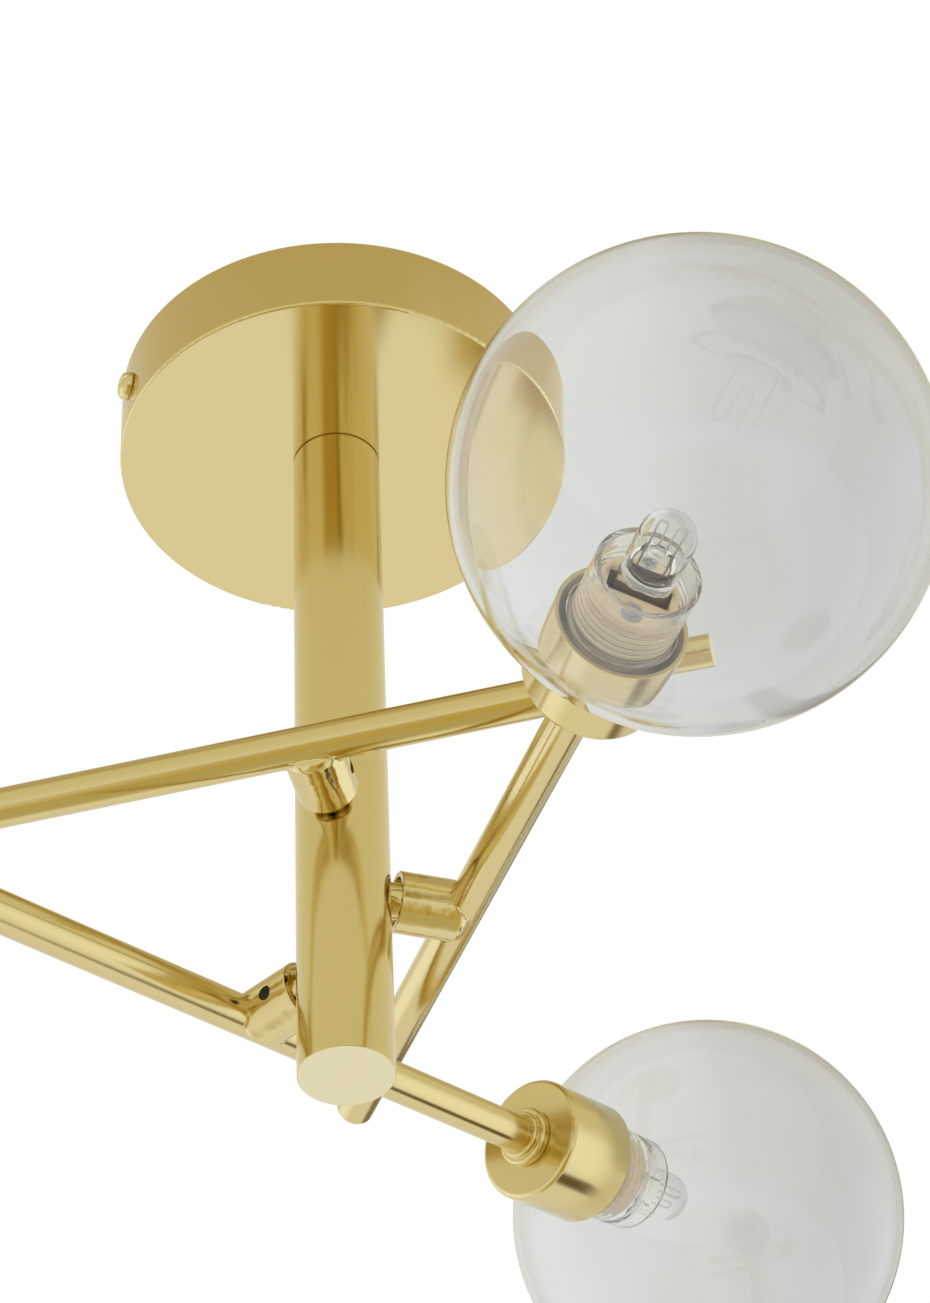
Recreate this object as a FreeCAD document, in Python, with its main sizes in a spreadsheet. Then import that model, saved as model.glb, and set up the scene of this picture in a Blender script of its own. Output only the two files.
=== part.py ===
# Semi flush ceiling light: a brass canopy and stem carry three arms at three heights.  Each arm is
# brazed to a short collar that turns on a stub of the stem, and ends in a cup with a G9 lampholder
# and a clear glass globe.  Millimetres; the ceiling is z = 0, the light hangs towards -Z.
import FreeCAD, Part
import math
import os
import re
import Sketcher

Vector = FreeCAD.Vector
Rotation = FreeCAD.Rotation
Placement = FreeCAD.Placement

doc = FreeCAD.newDocument("ceiling_light")

# ---------------------------------------------------------------- driving dimensions

DIMENSIONS = (
    ("canopy_dia", 125.0, "canopy outside diameter"),
    ("canopy_height", 25.5, "ceiling to canopy face"),
    ("canopy_wall", 1.2, "canopy sheet thickness"),
    ("canopy_corner", 0.9, "rounding between canopy side and face"),
    ("side_screw_drop", 12.7, "ceiling to side screw axis"),
    ("side_screw_dia", 4.0, "M4 side screw"),
    ("side_screw_head_dia", 8.4, "side screw head"),
    ("side_screw_head", 3.0, "height of the domed head"),
    ("side_screw_length", 8.0, "side screw under its head"),
    ("bracket_wall", 1.5, "bracket strap thickness"),
    ("bracket_width", 22.0, "bracket strap width"),
    ("bracket_tab", 19.0, "ceiling to the foot of the bent tab"),
    ("bracket_clear", 1.4, "tab to canopy wall"),
    ("bracket_bend", 0.6, "inside bend radius of the strap"),
    ("fixing_spacing", 70.0, "between the two ceiling fixing slots"),
    ("fixing_slot_length", 18.0, "fixing slot end to end"),
    ("fixing_slot_width", 5.0, "fixing slot width"),
    ("cable_hole_dia", 11.0, "hole for the supply cable"),
    ("stem_dia", 25.0, "stem tube outside diameter"),
    ("stem_wall", 1.5, "stem tube wall"),
    ("stem_length", 221.0, "canopy face to the end cap's face"),
    ("stem_cap_face", 2.0, "end cap disc thickness"),
    ("stem_cap_spigot", 6.0, "end cap spigot inside the tube"),
    ("bush_length", 12.0, "tapped bush in the top of the stem"),
    ("nipple_dia", 10.0, "M10 hollow threaded rod"),
    ("nipple_bore", 7.0, "wire way in the threaded rod"),
    ("nipple_rise", 10.5, "threaded rod above the canopy face"),
    ("canopy_nut_flats", 14.0, "M10 nut across flats"),
    ("canopy_nut_height", 4.5, "M10 nut height"),
    ("washer_dia", 19.0, "washer under the M10 nut"),
    ("washer_wall", 1.0, "washer thickness"),
    ("last_arm_rise", 35.3, "foot of the stem to the bottom arm's axis"),
    ("arm_spacing", 24.2, "between the heights of two arms"),
    ("arm_turn", -3.0, "turn of the three collars from the bracket's line, degrees"),
    ("arm_offset", 32.4, "stem axis to arm axis"),
    ("arm_dia", 10.6, "arm tube outside diameter"),
    ("arm_wall", 1.1, "arm tube wall"),
    ("arm_back", 107.0, "collar to the arm's plain end"),
    ("tilt_top", -1.3, "lamp end of the top arm up, degrees"),
    ("tilt_middle", -6.9, "lamp end of the middle arm up, degrees"),
    ("tilt_bottom", 8.6, "lamp end of the bottom arm up, degrees"),
    ("plug_face", 1.4, "arm end plug disc thickness"),
    ("plug_spigot", 6.0, "arm end plug inside the tube"),
    ("collar_dia", 16.5, "collar outside diameter"),
    ("collar_gap", 1.6, "stem to the collar's lip"),
    ("collar_web", 0.9, "metal between the collar's bore and the arm"),
    ("collar_overhang", 0.3, "collar beyond the arm's axis"),
    ("collar_round", 2.6, "rounding of the collar's far end"),
    ("stub_dia", 13.2, "stub inside the collar"),
    ("stub_neck_dia", 10.0, "waist of the stub at the stem"),
    ("stub_inset", 1.4, "collar's lip to the stub's full diameter"),
    ("stub_end_gap", 0.8, "stub end to the floor of the collar's bore"),
    ("stub_shank_dia", 8.0, "M8 shank of the stub through the stem wall"),
    ("stub_shank_root", 6.4, "stem axis to the inner end of the shank"),
    ("stub_nut_flats", 11.0, "thin M8 nut inside the stem, across flats"),
    ("stub_nut_height", 2.2, "thin M8 nut height"),
    ("wire_way_dia", 5.0, "wire way through stub, collar and arm wall"),
    ("grub_dia", 4.0, "M4 grub screw in the collar"),
    ("grub_place", 7.1, "collar's lip to the grub screw axis"),
    ("grub_socket", 2.0, "grub screw socket across flats"),
    ("cup_back", 106.8, "collar to the back of the lamp cup"),
    ("cup_dia", 34.6, "lamp cup outside diameter"),
    ("cup_wall", 1.2, "lamp cup wall"),
    ("cup_corner", 1.6, "rounding of the cup's back edge"),
    ("ring_dia", 16.6, "ring that carries the cup"),
    ("ring_height", 3.0, "ring thickness"),
    ("ring_step_dia", 13.2, "step of the ring around the arm"),
    ("ring_step", 1.5, "height of that step"),
    ("ring_socket", 1.8, "arm tube end to the cup's back"),
    ("coupling_length", 5.0, "threaded end of the ring inside the cup"),
    ("sleeve_floor", 3.0, "tapped floor of the threaded sleeve"),
    ("sleeve_wall", 1.1, "threaded sleeve wall"),
    ("sleeve_end", 141.0, "collar to the open end of the threaded sleeve"),
    ("ledge_height", 1.5, "ledge that the lampholder stands on"),
    ("ledge_bore", 10.6, "hole in the ledge"),
    ("holder_face", 145.0, "collar to the face of the lampholder"),
    ("holder_height", 20.0, "lampholder height"),
    ("holder_turn", 165.0, "turn of the lampholder's slot about the arm, degrees"),
    ("slot_length", 16.0, "slot for the lamp base"),
    ("slot_width", 5.6, "slot width"),
    ("slot_depth", 13.4, "slot depth"),
    ("contact_pitch", 9.0, "between the two lamp contacts"),
    ("contact_depth", 5.4, "contact pocket below the slot"),
    ("holder_screw_dia", 3.0, "M3 holder screw"),
    ("holder_screw_head_dia", 5.2, "holder screw head"),
    ("holder_screw_head", 1.8, "holder screw head height"),
    ("holder_screw_pitch", 14.0, "between the two holder screws"),
    ("globe_dia", 114.0, "globe outside diameter"),
    ("globe_glass", 1.8, "globe wall"),
    ("globe_reach", 185.8, "collar to the globe's centre"),
    ("globe_gap", 0.3, "cup rim to the globe"),
    ("mouth_dia", 26.6, "re-entrant threaded neck of the globe"),
    ("mouth_glass", 1.6, "neck wall"),
    ("mouth_edge", 33.8, "globe's centre to the free edge of the neck"),
    ("mouth_lip", 1.0, "ground lip of the neck outside the globe"),
    ("bulb_dia", 14.0, "G9 capsule"),
    ("bulb_glass", 1.0, "capsule wall"),
    ("bulb_tip", 175.0, "collar to the tip of the capsule"),
    ("bulb_base", 150.0, "collar to the foot of the capsule"),
    ("pinch_width", 13.6, "pinched base of the bulb"),
    ("pinch_thick", 4.4, "pinched base thickness"),
    ("pinch_depth", 11.8, "pinched base inside the lampholder"),
    ("pin_dia", 0.9, "wire of the looped pins"),
    ("pin_loop", 2.4, "width of a pin loop between wire axes"),
    ("pin_length", 5.0, "length of a pin loop"),
    ("filament_dia", 0.5, "filament and its leads"),
    ("filament_height", 7.0, "height of the filament's folds"),
    ("thread_fit", 0.03, "radial clearance of a screwed or pressed fit"),
    ("turning_fit", 0.06, "radial clearance of the collar on its stub"),
    ("globe_thread_fit", 0.3, "radial clearance of the globe's neck on its sleeve"),
    ("moving_gap", 0.3, "clearance between parts that move past each other"),
)

sizes = doc.addObject("Spreadsheet::Sheet", "Sizes")
for row, (alias, number, note) in enumerate(DIMENSIONS, 1):
    sizes.set("A%d" % row, note)
    sizes.set("B%d" % row, str(number))
    sizes.setAlias("B%d" % row, alias)
doc.recompute()

ALIASES = {alias for alias, number, note in DIMENSIONS}


def size(alias):
    """The number in the sheet's cell of that name."""
    return float(getattr(sizes, alias))


def bound(text):
    """An expression on the sheet, written with the bare names of its cells."""
    return re.sub(r"[a-z_]+", lambda word: ("Sizes." if word[0] in ALIASES else "") + word[0], text)


# ---------------------------------------------------------------- modelling steps

SUB_PARTS = []


def sub_part(shape_object, label, place=Placement()):
    """Names a finished sub-part and sets it in its place."""
    shape_object.Label = label
    shape_object.Placement = place
    SUB_PARTS.append(shape_object)
    return shape_object


def new_body(label):
    return doc.addObject("PartDesign::Body", label + "_body")


def sketch_on(body, role, name):
    """A sketch on one of the body's own origin planes."""
    sketch = body.newObject("Sketcher::SketchObject", name)
    plane = next(f for f in body.Origin.OriginFeatures if f.Role == role)
    sketch.AttachmentSupport = [(plane, "")]
    sketch.MapMode = "FlatFace"
    return sketch


def draw_outline(sketch, corners):
    """A closed polygon; each corner is a pair of expressions, "0" for a point on an axis."""
    count = len(corners)
    turn = 2 * math.pi / count
    reach = size("stem_dia")
    guess = [Vector(reach * math.cos(i * turn), reach * math.sin(i * turn), 0) for i in range(count)]
    sketch.addGeometry([Part.LineSegment(guess[i], guess[(i + 1) % count]) for i in range(count)])
    constraints = [Sketcher.Constraint("Coincident", i, 2, (i + 1) % count, 1) for i in range(count)]
    driven = []
    for i, corner in enumerate(corners):
        for kind, axis, text in zip(("DistanceX", "DistanceY"), (-2, -1), corner):
            if text == "0":
                constraints.append(Sketcher.Constraint("PointOnObject", i, 1, axis))
            else:
                driven.append((len(constraints), text))
                constraints.append(Sketcher.Constraint(kind, -1, 1, i, 1, 1.0))
    sketch.addConstraint(constraints)
    for number, text in driven:
        sketch.setExpression("Constraints[%d]" % number, bound(text))


def turned(body, name, corners, about):
    """A turned piece: about "X" the corners are (station, radius), about "Y" and "Z" (radius, station)."""
    sketch = sketch_on(body, "XZ_Plane" if about == "Z" else "XY_Plane", name + "_section")
    draw_outline(sketch, corners)
    revolution = body.newObject("PartDesign::Revolution", name)
    revolution.Profile = sketch
    revolution.ReferenceAxis = (sketch, ["H_Axis" if about == "X" else "V_Axis"])
    revolution.Angle = 360
    doc.recompute()
    return revolution


def padded(body, name, role, corners, length):
    """A prism, half of its length on each side of the sketch plane."""
    sketch = sketch_on(body, role, name + "_section")
    draw_outline(sketch, corners)
    pad = body.newObject("PartDesign::Pad", name)
    pad.Profile = sketch
    pad.SideType = "Symmetric"
    pad.setExpression("Length", bound(length))
    doc.recompute()
    return pad


AXES = {
    "X": Rotation(Vector(0, 1, 0), 90),
    "-X": Rotation(Vector(0, 1, 0), -90),
    "Y": Rotation(Vector(1, 0, 0), -90),
    "Z": Rotation(),
    "-Z": Rotation(Vector(1, 0, 0), 180),
}


def primitive(body, kind, name, place, **expressions):
    """One of PartDesign's additive or subtractive primitives."""
    solid = body.newObject("PartDesign::" + kind, name)
    solid.Placement = place
    for key, text in expressions.items():
        solid.setExpression(key, bound(text))
    doc.recompute()
    return solid


def rod(body, name, start, along, radius, length):
    return primitive(body, "AdditiveCylinder", name, Placement(start, AXES[along]), Radius=radius, Height=length)


def drill(body, name, start, along, radius, length):
    return primitive(body, "SubtractiveCylinder", name, Placement(start, AXES[along]), Radius=radius, Height=length)


def box(body, kind, name, low, x, y, z):
    return primitive(body, kind + "Box", name, Placement(low, Rotation()), Length=x, Width=y, Height=z)


def circles(feature, radius, station, axis):
    """Names of the feature's circular edges of that radius, centred at that station of the axis."""
    names = []
    for number, edge in enumerate(feature.Shape.Edges, 1):
        curve = None if edge.Degenerated else edge.Curve
        if isinstance(curve, Part.Circle) and abs(curve.Radius - radius) < 1e-4:
            if abs(getattr(curve.Center, axis.lower()) - station) < 1e-4:
                names.append("Edge%d" % number)
    return names


def dressed(body, kind, name, feature, edges, amount):
    """A fillet or chamfer on named edges of the body's last feature."""
    finish = body.newObject("PartDesign::" + kind, name)
    finish.Base = (feature, edges)
    finish.setExpression("Radius" if kind == "Fillet" else "Size", bound(amount))
    doc.recompute()
    return finish


def simple(kind, name, place=Placement(), **expressions):
    """A Part primitive."""
    solid = doc.addObject("Part::" + kind, name)
    solid.Placement = place
    for key, text in expressions.items():
        solid.setExpression(key, bound(text))
    return solid


def joined(name, pieces):
    fuse = doc.addObject("Part::MultiFuse", name)
    fuse.Shapes = pieces
    return fuse


def cut_from(name, base, tools):
    cut = doc.addObject("Part::Cut", name)
    cut.Base = base
    cut.Tool = tools[0] if len(tools) == 1 else joined(name + "_tools", tools)
    return cut


def group(name, pieces, label, place=Placement()):
    """Several like solids as one sub-part."""
    compound = doc.addObject("Part::Compound", name)
    compound.Links = pieces
    doc.recompute()
    return sub_part(compound, label, place)


def hexagon(name, flats, height, place=Placement()):
    prism = simple("Prism", name, place, Circumradius="%s / sqrt(3)" % flats, Height=height)
    prism.Polygon = 6
    return prism


def screw(name, place, dia, head_dia, head, length, recess):
    """A cross-recessed pan head screw: its head's underside at the origin, the head towards +Z."""
    head_solid = simple("Cylinder", name + "_head", Radius=head_dia + " / 2", Height=head)
    shank = simple("Cylinder", name + "_shank", Radius=dia + " / 2 - thread_fit", Height=length)
    shank.setExpression("Placement.Base.z", bound("-(%s)" % length))
    bars = []
    for turn in (0, 90):
        bar = simple("Box", "%s_bar_%d" % (name, turn), Length=head_dia + " * 0.6",
                     Width=head_dia + " * 0.16", Height=head)
        half_long = size(head_dia) * 0.3
        half_wide = size(head_dia) * 0.08
        spin = Rotation(Vector(0, 0, 1), turn)
        bar.Placement = Placement(spin.multVec(Vector(-half_long, -half_wide, 0))
                                  + Vector(0, 0, size(head) * (1 - recess)), spin)
        bars.append(bar)
    solid = cut_from(name, joined(name + "_blank", [head_solid, shank]), bars)
    solid.Placement = place
    return solid


# ---------------------------------------------------------------- places

TILTS = ("tilt_top", "tilt_middle", "tilt_bottom")
ARMS = range(1, len(TILTS) + 1)
face_z = -size("canopy_height")
stem_foot_z = face_z - size("stem_length")


def azimuth(arm):
    """Where an arm's collar points from the stem, in degrees from +X."""
    return size("arm_turn") + 120 * (arm - 2)


def stub_place(arm):
    """The foot of an arm: +Y points away from the stem, +X to the lamp, before the arm is tilted."""
    turn = Rotation(azimuth(arm) - 90, 0, 0)
    height = stem_foot_z + size("last_arm_rise") + (len(TILTS) - arm) * size("arm_spacing")
    return Placement(turn.multVec(Vector(0, size("arm_offset"), 0)) + Vector(0, 0, height), turn)


def arm_place(arm):
    """The same frame tilted about its Y axis, with the arm along X."""
    return stub_place(arm) * Placement(Vector(), Rotation(0, -size(TILTS[arm - 1]), 0))


def lamp_place(arm):
    """The arm's frame turned about X to the lampholder's slot, which then runs along Y."""
    return arm_place(arm) * Placement(Vector(), Rotation(Vector(1, 0, 0), size("holder_turn")))


# ---------------------------------------------------------------- ceiling bracket and wiring

def ceiling_bracket():
    """Folded steel strap with two slots for the ceiling screws and a tapped tab at each end."""
    reach = "(canopy_dia / 2 - canopy_wall - bracket_clear)"
    body = new_body("ceiling_bracket")
    strap = padded(body, "strap", "XZ_Plane", [
        ("-" + reach, "0"), (reach, "0"), (reach, "-bracket_tab"),
        (reach + " - bracket_wall", "-bracket_tab"), (reach + " - bracket_wall", "-bracket_wall"),
        ("-%s + bracket_wall" % reach, "-bracket_wall"), ("-%s + bracket_wall" % reach, "-bracket_tab"),
        ("-" + reach, "-bracket_tab")], "bracket_width")
    outside, inside = [], []
    end = size("canopy_dia") / 2 - size("canopy_wall") - size("bracket_clear")
    for number, edge in enumerate(strap.Shape.Edges, 1):
        middle = edge.CenterOfMass
        if abs(abs(middle.x) - end) < 1e-4 and abs(middle.z) < 1e-4 and abs(middle.y) < 1e-4:
            outside.append("Edge%d" % number)
        if abs(abs(middle.x) - end + size("bracket_wall")) < 1e-4 and abs(middle.y) < 1e-4:
            if abs(middle.z + size("bracket_wall")) < 1e-4:
                inside.append("Edge%d" % number)
    bend = dressed(body, "Fillet", "outer_bend", strap, outside, "bracket_bend + bracket_wall")
    inner = []
    for number, edge in enumerate(bend.Shape.Edges, 1):
        middle = edge.CenterOfMass
        if abs(abs(middle.x) - end + size("bracket_wall")) < 1e-4 and abs(middle.y) < 1e-4:
            if abs(middle.z + size("bracket_wall")) < 1e-4:
                inner.append("Edge%d" % number)
    dressed(body, "Fillet", "inner_bend", bend, inner, "bracket_bend")
    deep = "2 * bracket_wall"
    top = size("bracket_wall") / 2
    drill(body, "cable_hole", Vector(0, 0, top), "-Z", "cable_hole_dia / 2", deep)
    straight = (size("fixing_slot_length") - size("fixing_slot_width")) / 2
    for side in (-1, 1):
        middle = side * size("fixing_spacing") / 2
        low = Vector(middle - straight, -size("fixing_slot_width") / 2, -3 * top)
        box(body, "Subtractive", "slot", low, "fixing_slot_length - fixing_slot_width",
            "fixing_slot_width", deep)
        for end_x in (middle - straight, middle + straight):
            drill(body, "slot_end", Vector(end_x, 0, top), "-Z", "fixing_slot_width / 2", deep)
        start = Vector(side * (end + 1), 0, -size("side_screw_drop"))
        drill(body, "tab_thread", start, "-X" if side > 0 else "X", "side_screw_dia / 2",
              "bracket_wall + 2")
    drill(body, "earth_thread", Vector(-EARTH_X, 0, top), "-Z", "side_screw_dia / 2", deep)
    drill(body, "block_peg_hole", Vector(BLOCK_X, 0, top), "-Z", "side_screw_dia / 2", deep)
    sub_part(body, "ceiling_bracket")


EARTH_X = 15.0
BLOCK_X = 15.0
BLOCK_LONG = 28.0
BLOCK_WIDE = 13.0
BLOCK_BASE = 4.0
BLOCK_HUMP = 7.6
POLE_PITCH = 9.4
POLE_WIDE = 7.4
POLE_SCREW_R = 1.4
POLE_SCREW_X = 3.4
WIRE_HOLE_R = 1.5


def terminal_block():
    """Three-pole connector strip, pegged to the underside of the bracket."""
    under = -size("bracket_wall")
    foot = under - BLOCK_BASE - BLOCK_HUMP
    body = new_body("terminal_block")
    box(body, "Additive", "base", Vector(BLOCK_X - BLOCK_WIDE / 2, -BLOCK_LONG / 2, under - BLOCK_BASE),
        "%g" % BLOCK_WIDE, "%g" % BLOCK_LONG, "%g" % BLOCK_BASE)
    for pole in (-1, 0, 1):
        y = pole * POLE_PITCH
        box(body, "Additive", "pole", Vector(BLOCK_X - BLOCK_WIDE / 2 + 0.5, y - POLE_WIDE / 2, foot),
            "%g" % (BLOCK_WIDE - 1), "%g" % POLE_WIDE, "%g" % (BLOCK_HUMP + 1))
        drill(body, "wire_hole", Vector(BLOCK_X - BLOCK_WIDE, y, foot + BLOCK_HUMP * 0.72), "X",
              "%g" % WIRE_HOLE_R, "%g" % (2 * BLOCK_WIDE))
        for side in (-1, 1):
            drill(body, "screw_well", Vector(BLOCK_X + side * POLE_SCREW_X, y, foot - 1), "Z",
                  "%g + thread_fit" % POLE_SCREW_R, "%g" % (1 + BLOCK_HUMP * 0.72))
    rod(body, "peg", Vector(BLOCK_X, 0, under - 1), "Z", "side_screw_dia / 2 - thread_fit",
        "1 + bracket_wall")
    sub_part(body, "terminal_block")


def terminal_screws():
    """The six clamping screws of the connector strip, each with a driver slot."""
    foot = -size("bracket_wall") - BLOCK_BASE - BLOCK_HUMP
    screws = []
    for pole in (-1, 0, 1):
        for side in (-1, 1):
            name = "pole_screw_%d_%d" % (pole + 2, side + 2)
            at = Vector(BLOCK_X + side * POLE_SCREW_X, pole * POLE_PITCH, foot + 0.8)
            blank = simple("Cylinder", name + "_blank", Placement(at, Rotation()),
                           Radius="%g" % POLE_SCREW_R, Height="%g" % (BLOCK_HUMP * 0.45))
            nick = simple("Box", name + "_nick",
                          Placement(at + Vector(-POLE_SCREW_R - 0.1, -0.25, -0.1), Rotation()),
                          Length="%g" % (2 * POLE_SCREW_R + 0.2), Width="0.5", Height="0.9")
            screws.append(cut_from(name, blank, [nick]))
    group("terminal_screw_group", screws, "terminal_screws")


def earth_screw():
    """Earthing screw and its washer on the underside of the bracket."""
    under = -size("bracket_wall")
    washer_wall = 0.8
    washer = cut_from("earth_washer", simple("Cylinder", "earth_washer_blank", Radius="4.5",
                                             Height="%g" % washer_wall),
                      [simple("Cylinder", "earth_washer_hole", Radius="side_screw_dia / 2",
                              Height="%g" % washer_wall)])
    washer.Placement = Placement(Vector(-EARTH_X, 0, under - washer_wall), Rotation())
    down = Placement(Vector(-EARTH_X, 0, under - washer_wall), AXES["-Z"])
    bolt = screw("earth_bolt", down, "side_screw_dia", "side_screw_head_dia", "side_screw_head",
                 "bracket_wall + %g" % washer_wall, 0.6)
    group("earth_group", [washer, bolt], "earth_screw")


# ---------------------------------------------------------------- canopy and stem

def canopy():
    """Spun brass cup with a flat face, a hole for the threaded rod and two side screw holes."""
    face = "-canopy_height"
    outer = "canopy_dia / 2"
    body = new_body("canopy")
    shell = turned(body, "shell", [
        ("nipple_dia / 2 + thread_fit", face), (outer, face), (outer, "0"),
        (outer + " - canopy_wall", "0"), (outer + " - canopy_wall", face + " + canopy_wall"),
        ("nipple_dia / 2 + thread_fit", face + " + canopy_wall")], "Z")
    edge = circles(shell, size("canopy_dia") / 2, face_z, "Z")
    dressed(body, "Fillet", "rolled_edge", shell, edge, "canopy_corner")
    drill(body, "side_screw_holes", Vector(-size("canopy_dia"), 0, -size("side_screw_drop")), "X",
          "side_screw_dia / 2 + turning_fit", "2 * canopy_dia")
    sub_part(body, "canopy")


def canopy_screw(label, side):
    """Domed brass screw that holds the canopy to the bracket's tab; its head points along +X."""
    body = new_body(label)
    radius = "side_screw_head_dia / 2"
    shank = "side_screw_dia / 2 - turning_fit"
    blank = turned(body, "blank", [
        ("-side_screw_length", "0"), ("-side_screw_length", shank), ("0", shank), ("0", radius),
        ("side_screw_head", radius), ("side_screw_head", "0")], "X")
    rim = circles(blank, size("side_screw_head_dia") / 2, size("side_screw_head"), "X")
    dressed(body, "Fillet", "dome", blank, rim, "side_screw_head * 0.85")
    slot_deep = size("side_screw_head") * 0.4
    wide = 1.0
    box(body, "Subtractive", "driver_slot",
        Vector(size("side_screw_head") - slot_deep, -size("side_screw_head_dia") / 2, -wide / 2),
        "%g" % (slot_deep + 1), "side_screw_head_dia", "%g" % wide)
    at = Vector(side * (size("canopy_dia") / 2 + 0.05), 0, -size("side_screw_drop"))
    sub_part(body, label, Placement(at, Rotation(0 if side > 0 else 180, 0, 0)))


def ring(label, about, inner, outer, start, end, place=Placement()):
    """A plain ring or tube between two stations of its axis."""
    body = new_body(label)
    if about == "X":
        corners = [(start, inner), (start, outer), (end, outer), (end, inner)]
    else:
        corners = [(inner, start), (outer, start), (outer, end), (inner, end)]
    feature = turned(body, "tube", corners, about)
    return body, feature


def stem():
    """Straight tube, closed below by a flat cap, screwed to the canopy from inside."""
    inner = "stem_dia / 2 - stem_wall"
    face = "-canopy_height"
    foot = "-canopy_height - stem_length"
    tube, feature = ring("stem_tube", "Z", inner, "stem_dia / 2", foot + " + stem_cap_face", face)
    for arm in ARMS:
        hole = primitive(tube, "SubtractiveCylinder", "stub_hole_%d" % arm,
                         stub_place(arm) * Placement(Vector(0, -size("arm_offset"), 0), AXES["Y"]),
                         Radius="stub_shank_dia / 2 + thread_fit", Height="stem_dia")
    sub_part(tube, "stem_tube")

    cap = new_body("stem_end_cap")
    disc = turned(cap, "disc", [
        ("0", foot), ("stem_dia / 2", foot), ("stem_dia / 2", foot + " + stem_cap_face"),
        (inner + " - thread_fit", foot + " + stem_cap_face"),
        (inner + " - thread_fit", foot + " + stem_cap_face + stem_cap_spigot"),
        ("0", foot + " + stem_cap_face + stem_cap_spigot")], "Z")
    dressed(cap, "Chamfer", "edge", disc, circles(disc, size("stem_dia") / 2, stem_foot_z, "Z"), "0.3")
    sub_part(cap, "stem_end_cap")

    bush, feature = ring("stem_top_bush", "Z", "nipple_dia / 2 + thread_fit", inner + " - thread_fit",
                         face + " - bush_length", face)
    sub_part(bush, "stem_top_bush")

    nipple, feature = ring("stem_nipple", "Z", "nipple_bore / 2", "nipple_dia / 2",
                           face + " - bush_length", face + " + nipple_rise")
    sub_part(nipple, "stem_nipple")

    inside = face + " + canopy_wall"
    washer, feature = ring("canopy_washer", "Z", "nipple_dia / 2 + 2 * thread_fit", "washer_dia / 2",
                           inside, inside + " + washer_wall")
    sub_part(washer, "canopy_washer")

    nut_z = face_z + size("canopy_wall") + size("washer_wall")
    nut = cut_from("canopy_nut_solid", hexagon("canopy_nut_blank", "canopy_nut_flats", "canopy_nut_height"),
                   [simple("Cylinder", "canopy_nut_hole", Radius="nipple_dia / 2 + thread_fit",
                           Height="canopy_nut_height")])
    sub_part(nut, "canopy_nut", Placement(Vector(0, 0, nut_z), Rotation()))


# ---------------------------------------------------------------- stubs on the stem

LIP = "stem_dia / 2 + collar_gap - arm_offset"
BORE_FLOOR = "-arm_dia / 2 - collar_web"


def arm_stub(arm):
    """Turned stub, coped to the stem and held by a nut inside it; the wires pass through it."""
    label = "arm_stub_%d" % arm
    offset = size("arm_offset")
    full = "%s + stub_inset" % LIP
    body = new_body(label)
    turned(body, "barrel", [
        ("0", "-arm_offset + stem_dia / 4"), ("stub_neck_dia / 2", "-arm_offset + stem_dia / 4"),
        ("stub_neck_dia / 2", full), ("stub_dia / 2", full),
        ("stub_dia / 2", BORE_FLOOR + " - stub_end_gap"), ("0", BORE_FLOOR + " - stub_end_gap")], "Y")
    drill(body, "cope", Vector(0, -offset, -size("stem_dia")), "Z", "stem_dia / 2 + thread_fit",
          "2 * stem_dia")
    rod(body, "shank", Vector(0, size("stub_shank_root") - offset, 0), "Y", "stub_shank_dia / 2",
        "stem_dia / 2 + collar_gap - stub_shank_root")
    drill(body, "wire_way", Vector(0, -offset, 0), "Y", "wire_way_dia / 2", "arm_offset")
    sub_part(body, label, stub_place(arm))


def stub_nuts():
    """The three thin nuts that clamp the stubs from inside the stem."""
    nuts = []
    for arm in ARMS:
        name = "stub_nut_%d" % arm
        nut = cut_from(name, hexagon(name + "_blank", "stub_nut_flats", "stub_nut_height"),
                       [simple("Cylinder", name + "_hole", Radius="stub_shank_dia / 2 + thread_fit",
                               Height="stub_nut_height")])
        start = Vector(0, size("stub_shank_root") - size("arm_offset"), 0)
        nut.Placement = stub_place(arm) * Placement(start, AXES["Y"])
        nuts.append(nut)
    group("stub_nut_group", nuts, "stub_nuts")


# ---------------------------------------------------------------- arm: collar, tube, ring, cup

def arm_collar(arm):
    """Collar that turns on the stub; the arm tube lies in the saddle across its rounded far end."""
    label = "arm_collar_%d" % arm
    radius = "collar_dia / 2"
    bore = "stub_dia / 2 + turning_fit"
    body = new_body(label)
    blank = turned(body, "blank", [
        (bore, LIP), (radius, LIP), (radius, "collar_overhang"), ("0", "collar_overhang"),
        ("0", BORE_FLOOR), (bore, BORE_FLOOR)], "Y")
    far = circles(blank, size("collar_dia") / 2, size("collar_overhang"), "Y")
    rounded = dressed(body, "Fillet", "far_end", blank, far, "collar_round")
    lip = size("stem_dia") / 2 + size("collar_gap") - size("arm_offset")
    lips = circles(rounded, size("collar_dia") / 2, lip, "Y")
    dressed(body, "Fillet", "lip", rounded, lips, "0.35")
    drill(body, "saddle", Vector(-size("collar_dia"), 0, 0), "X", "arm_dia / 2 + thread_fit",
          "2 * collar_dia")
    drill(body, "wire_way", Vector(0, -size("arm_dia"), 0), "Y", "wire_way_dia / 2", "arm_dia")
    drill(body, "grub_thread", Vector(0, lip + size("grub_place"), 0), "-X", "grub_dia / 2",
          "collar_dia")
    sub_part(body, label, arm_place(arm))


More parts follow.
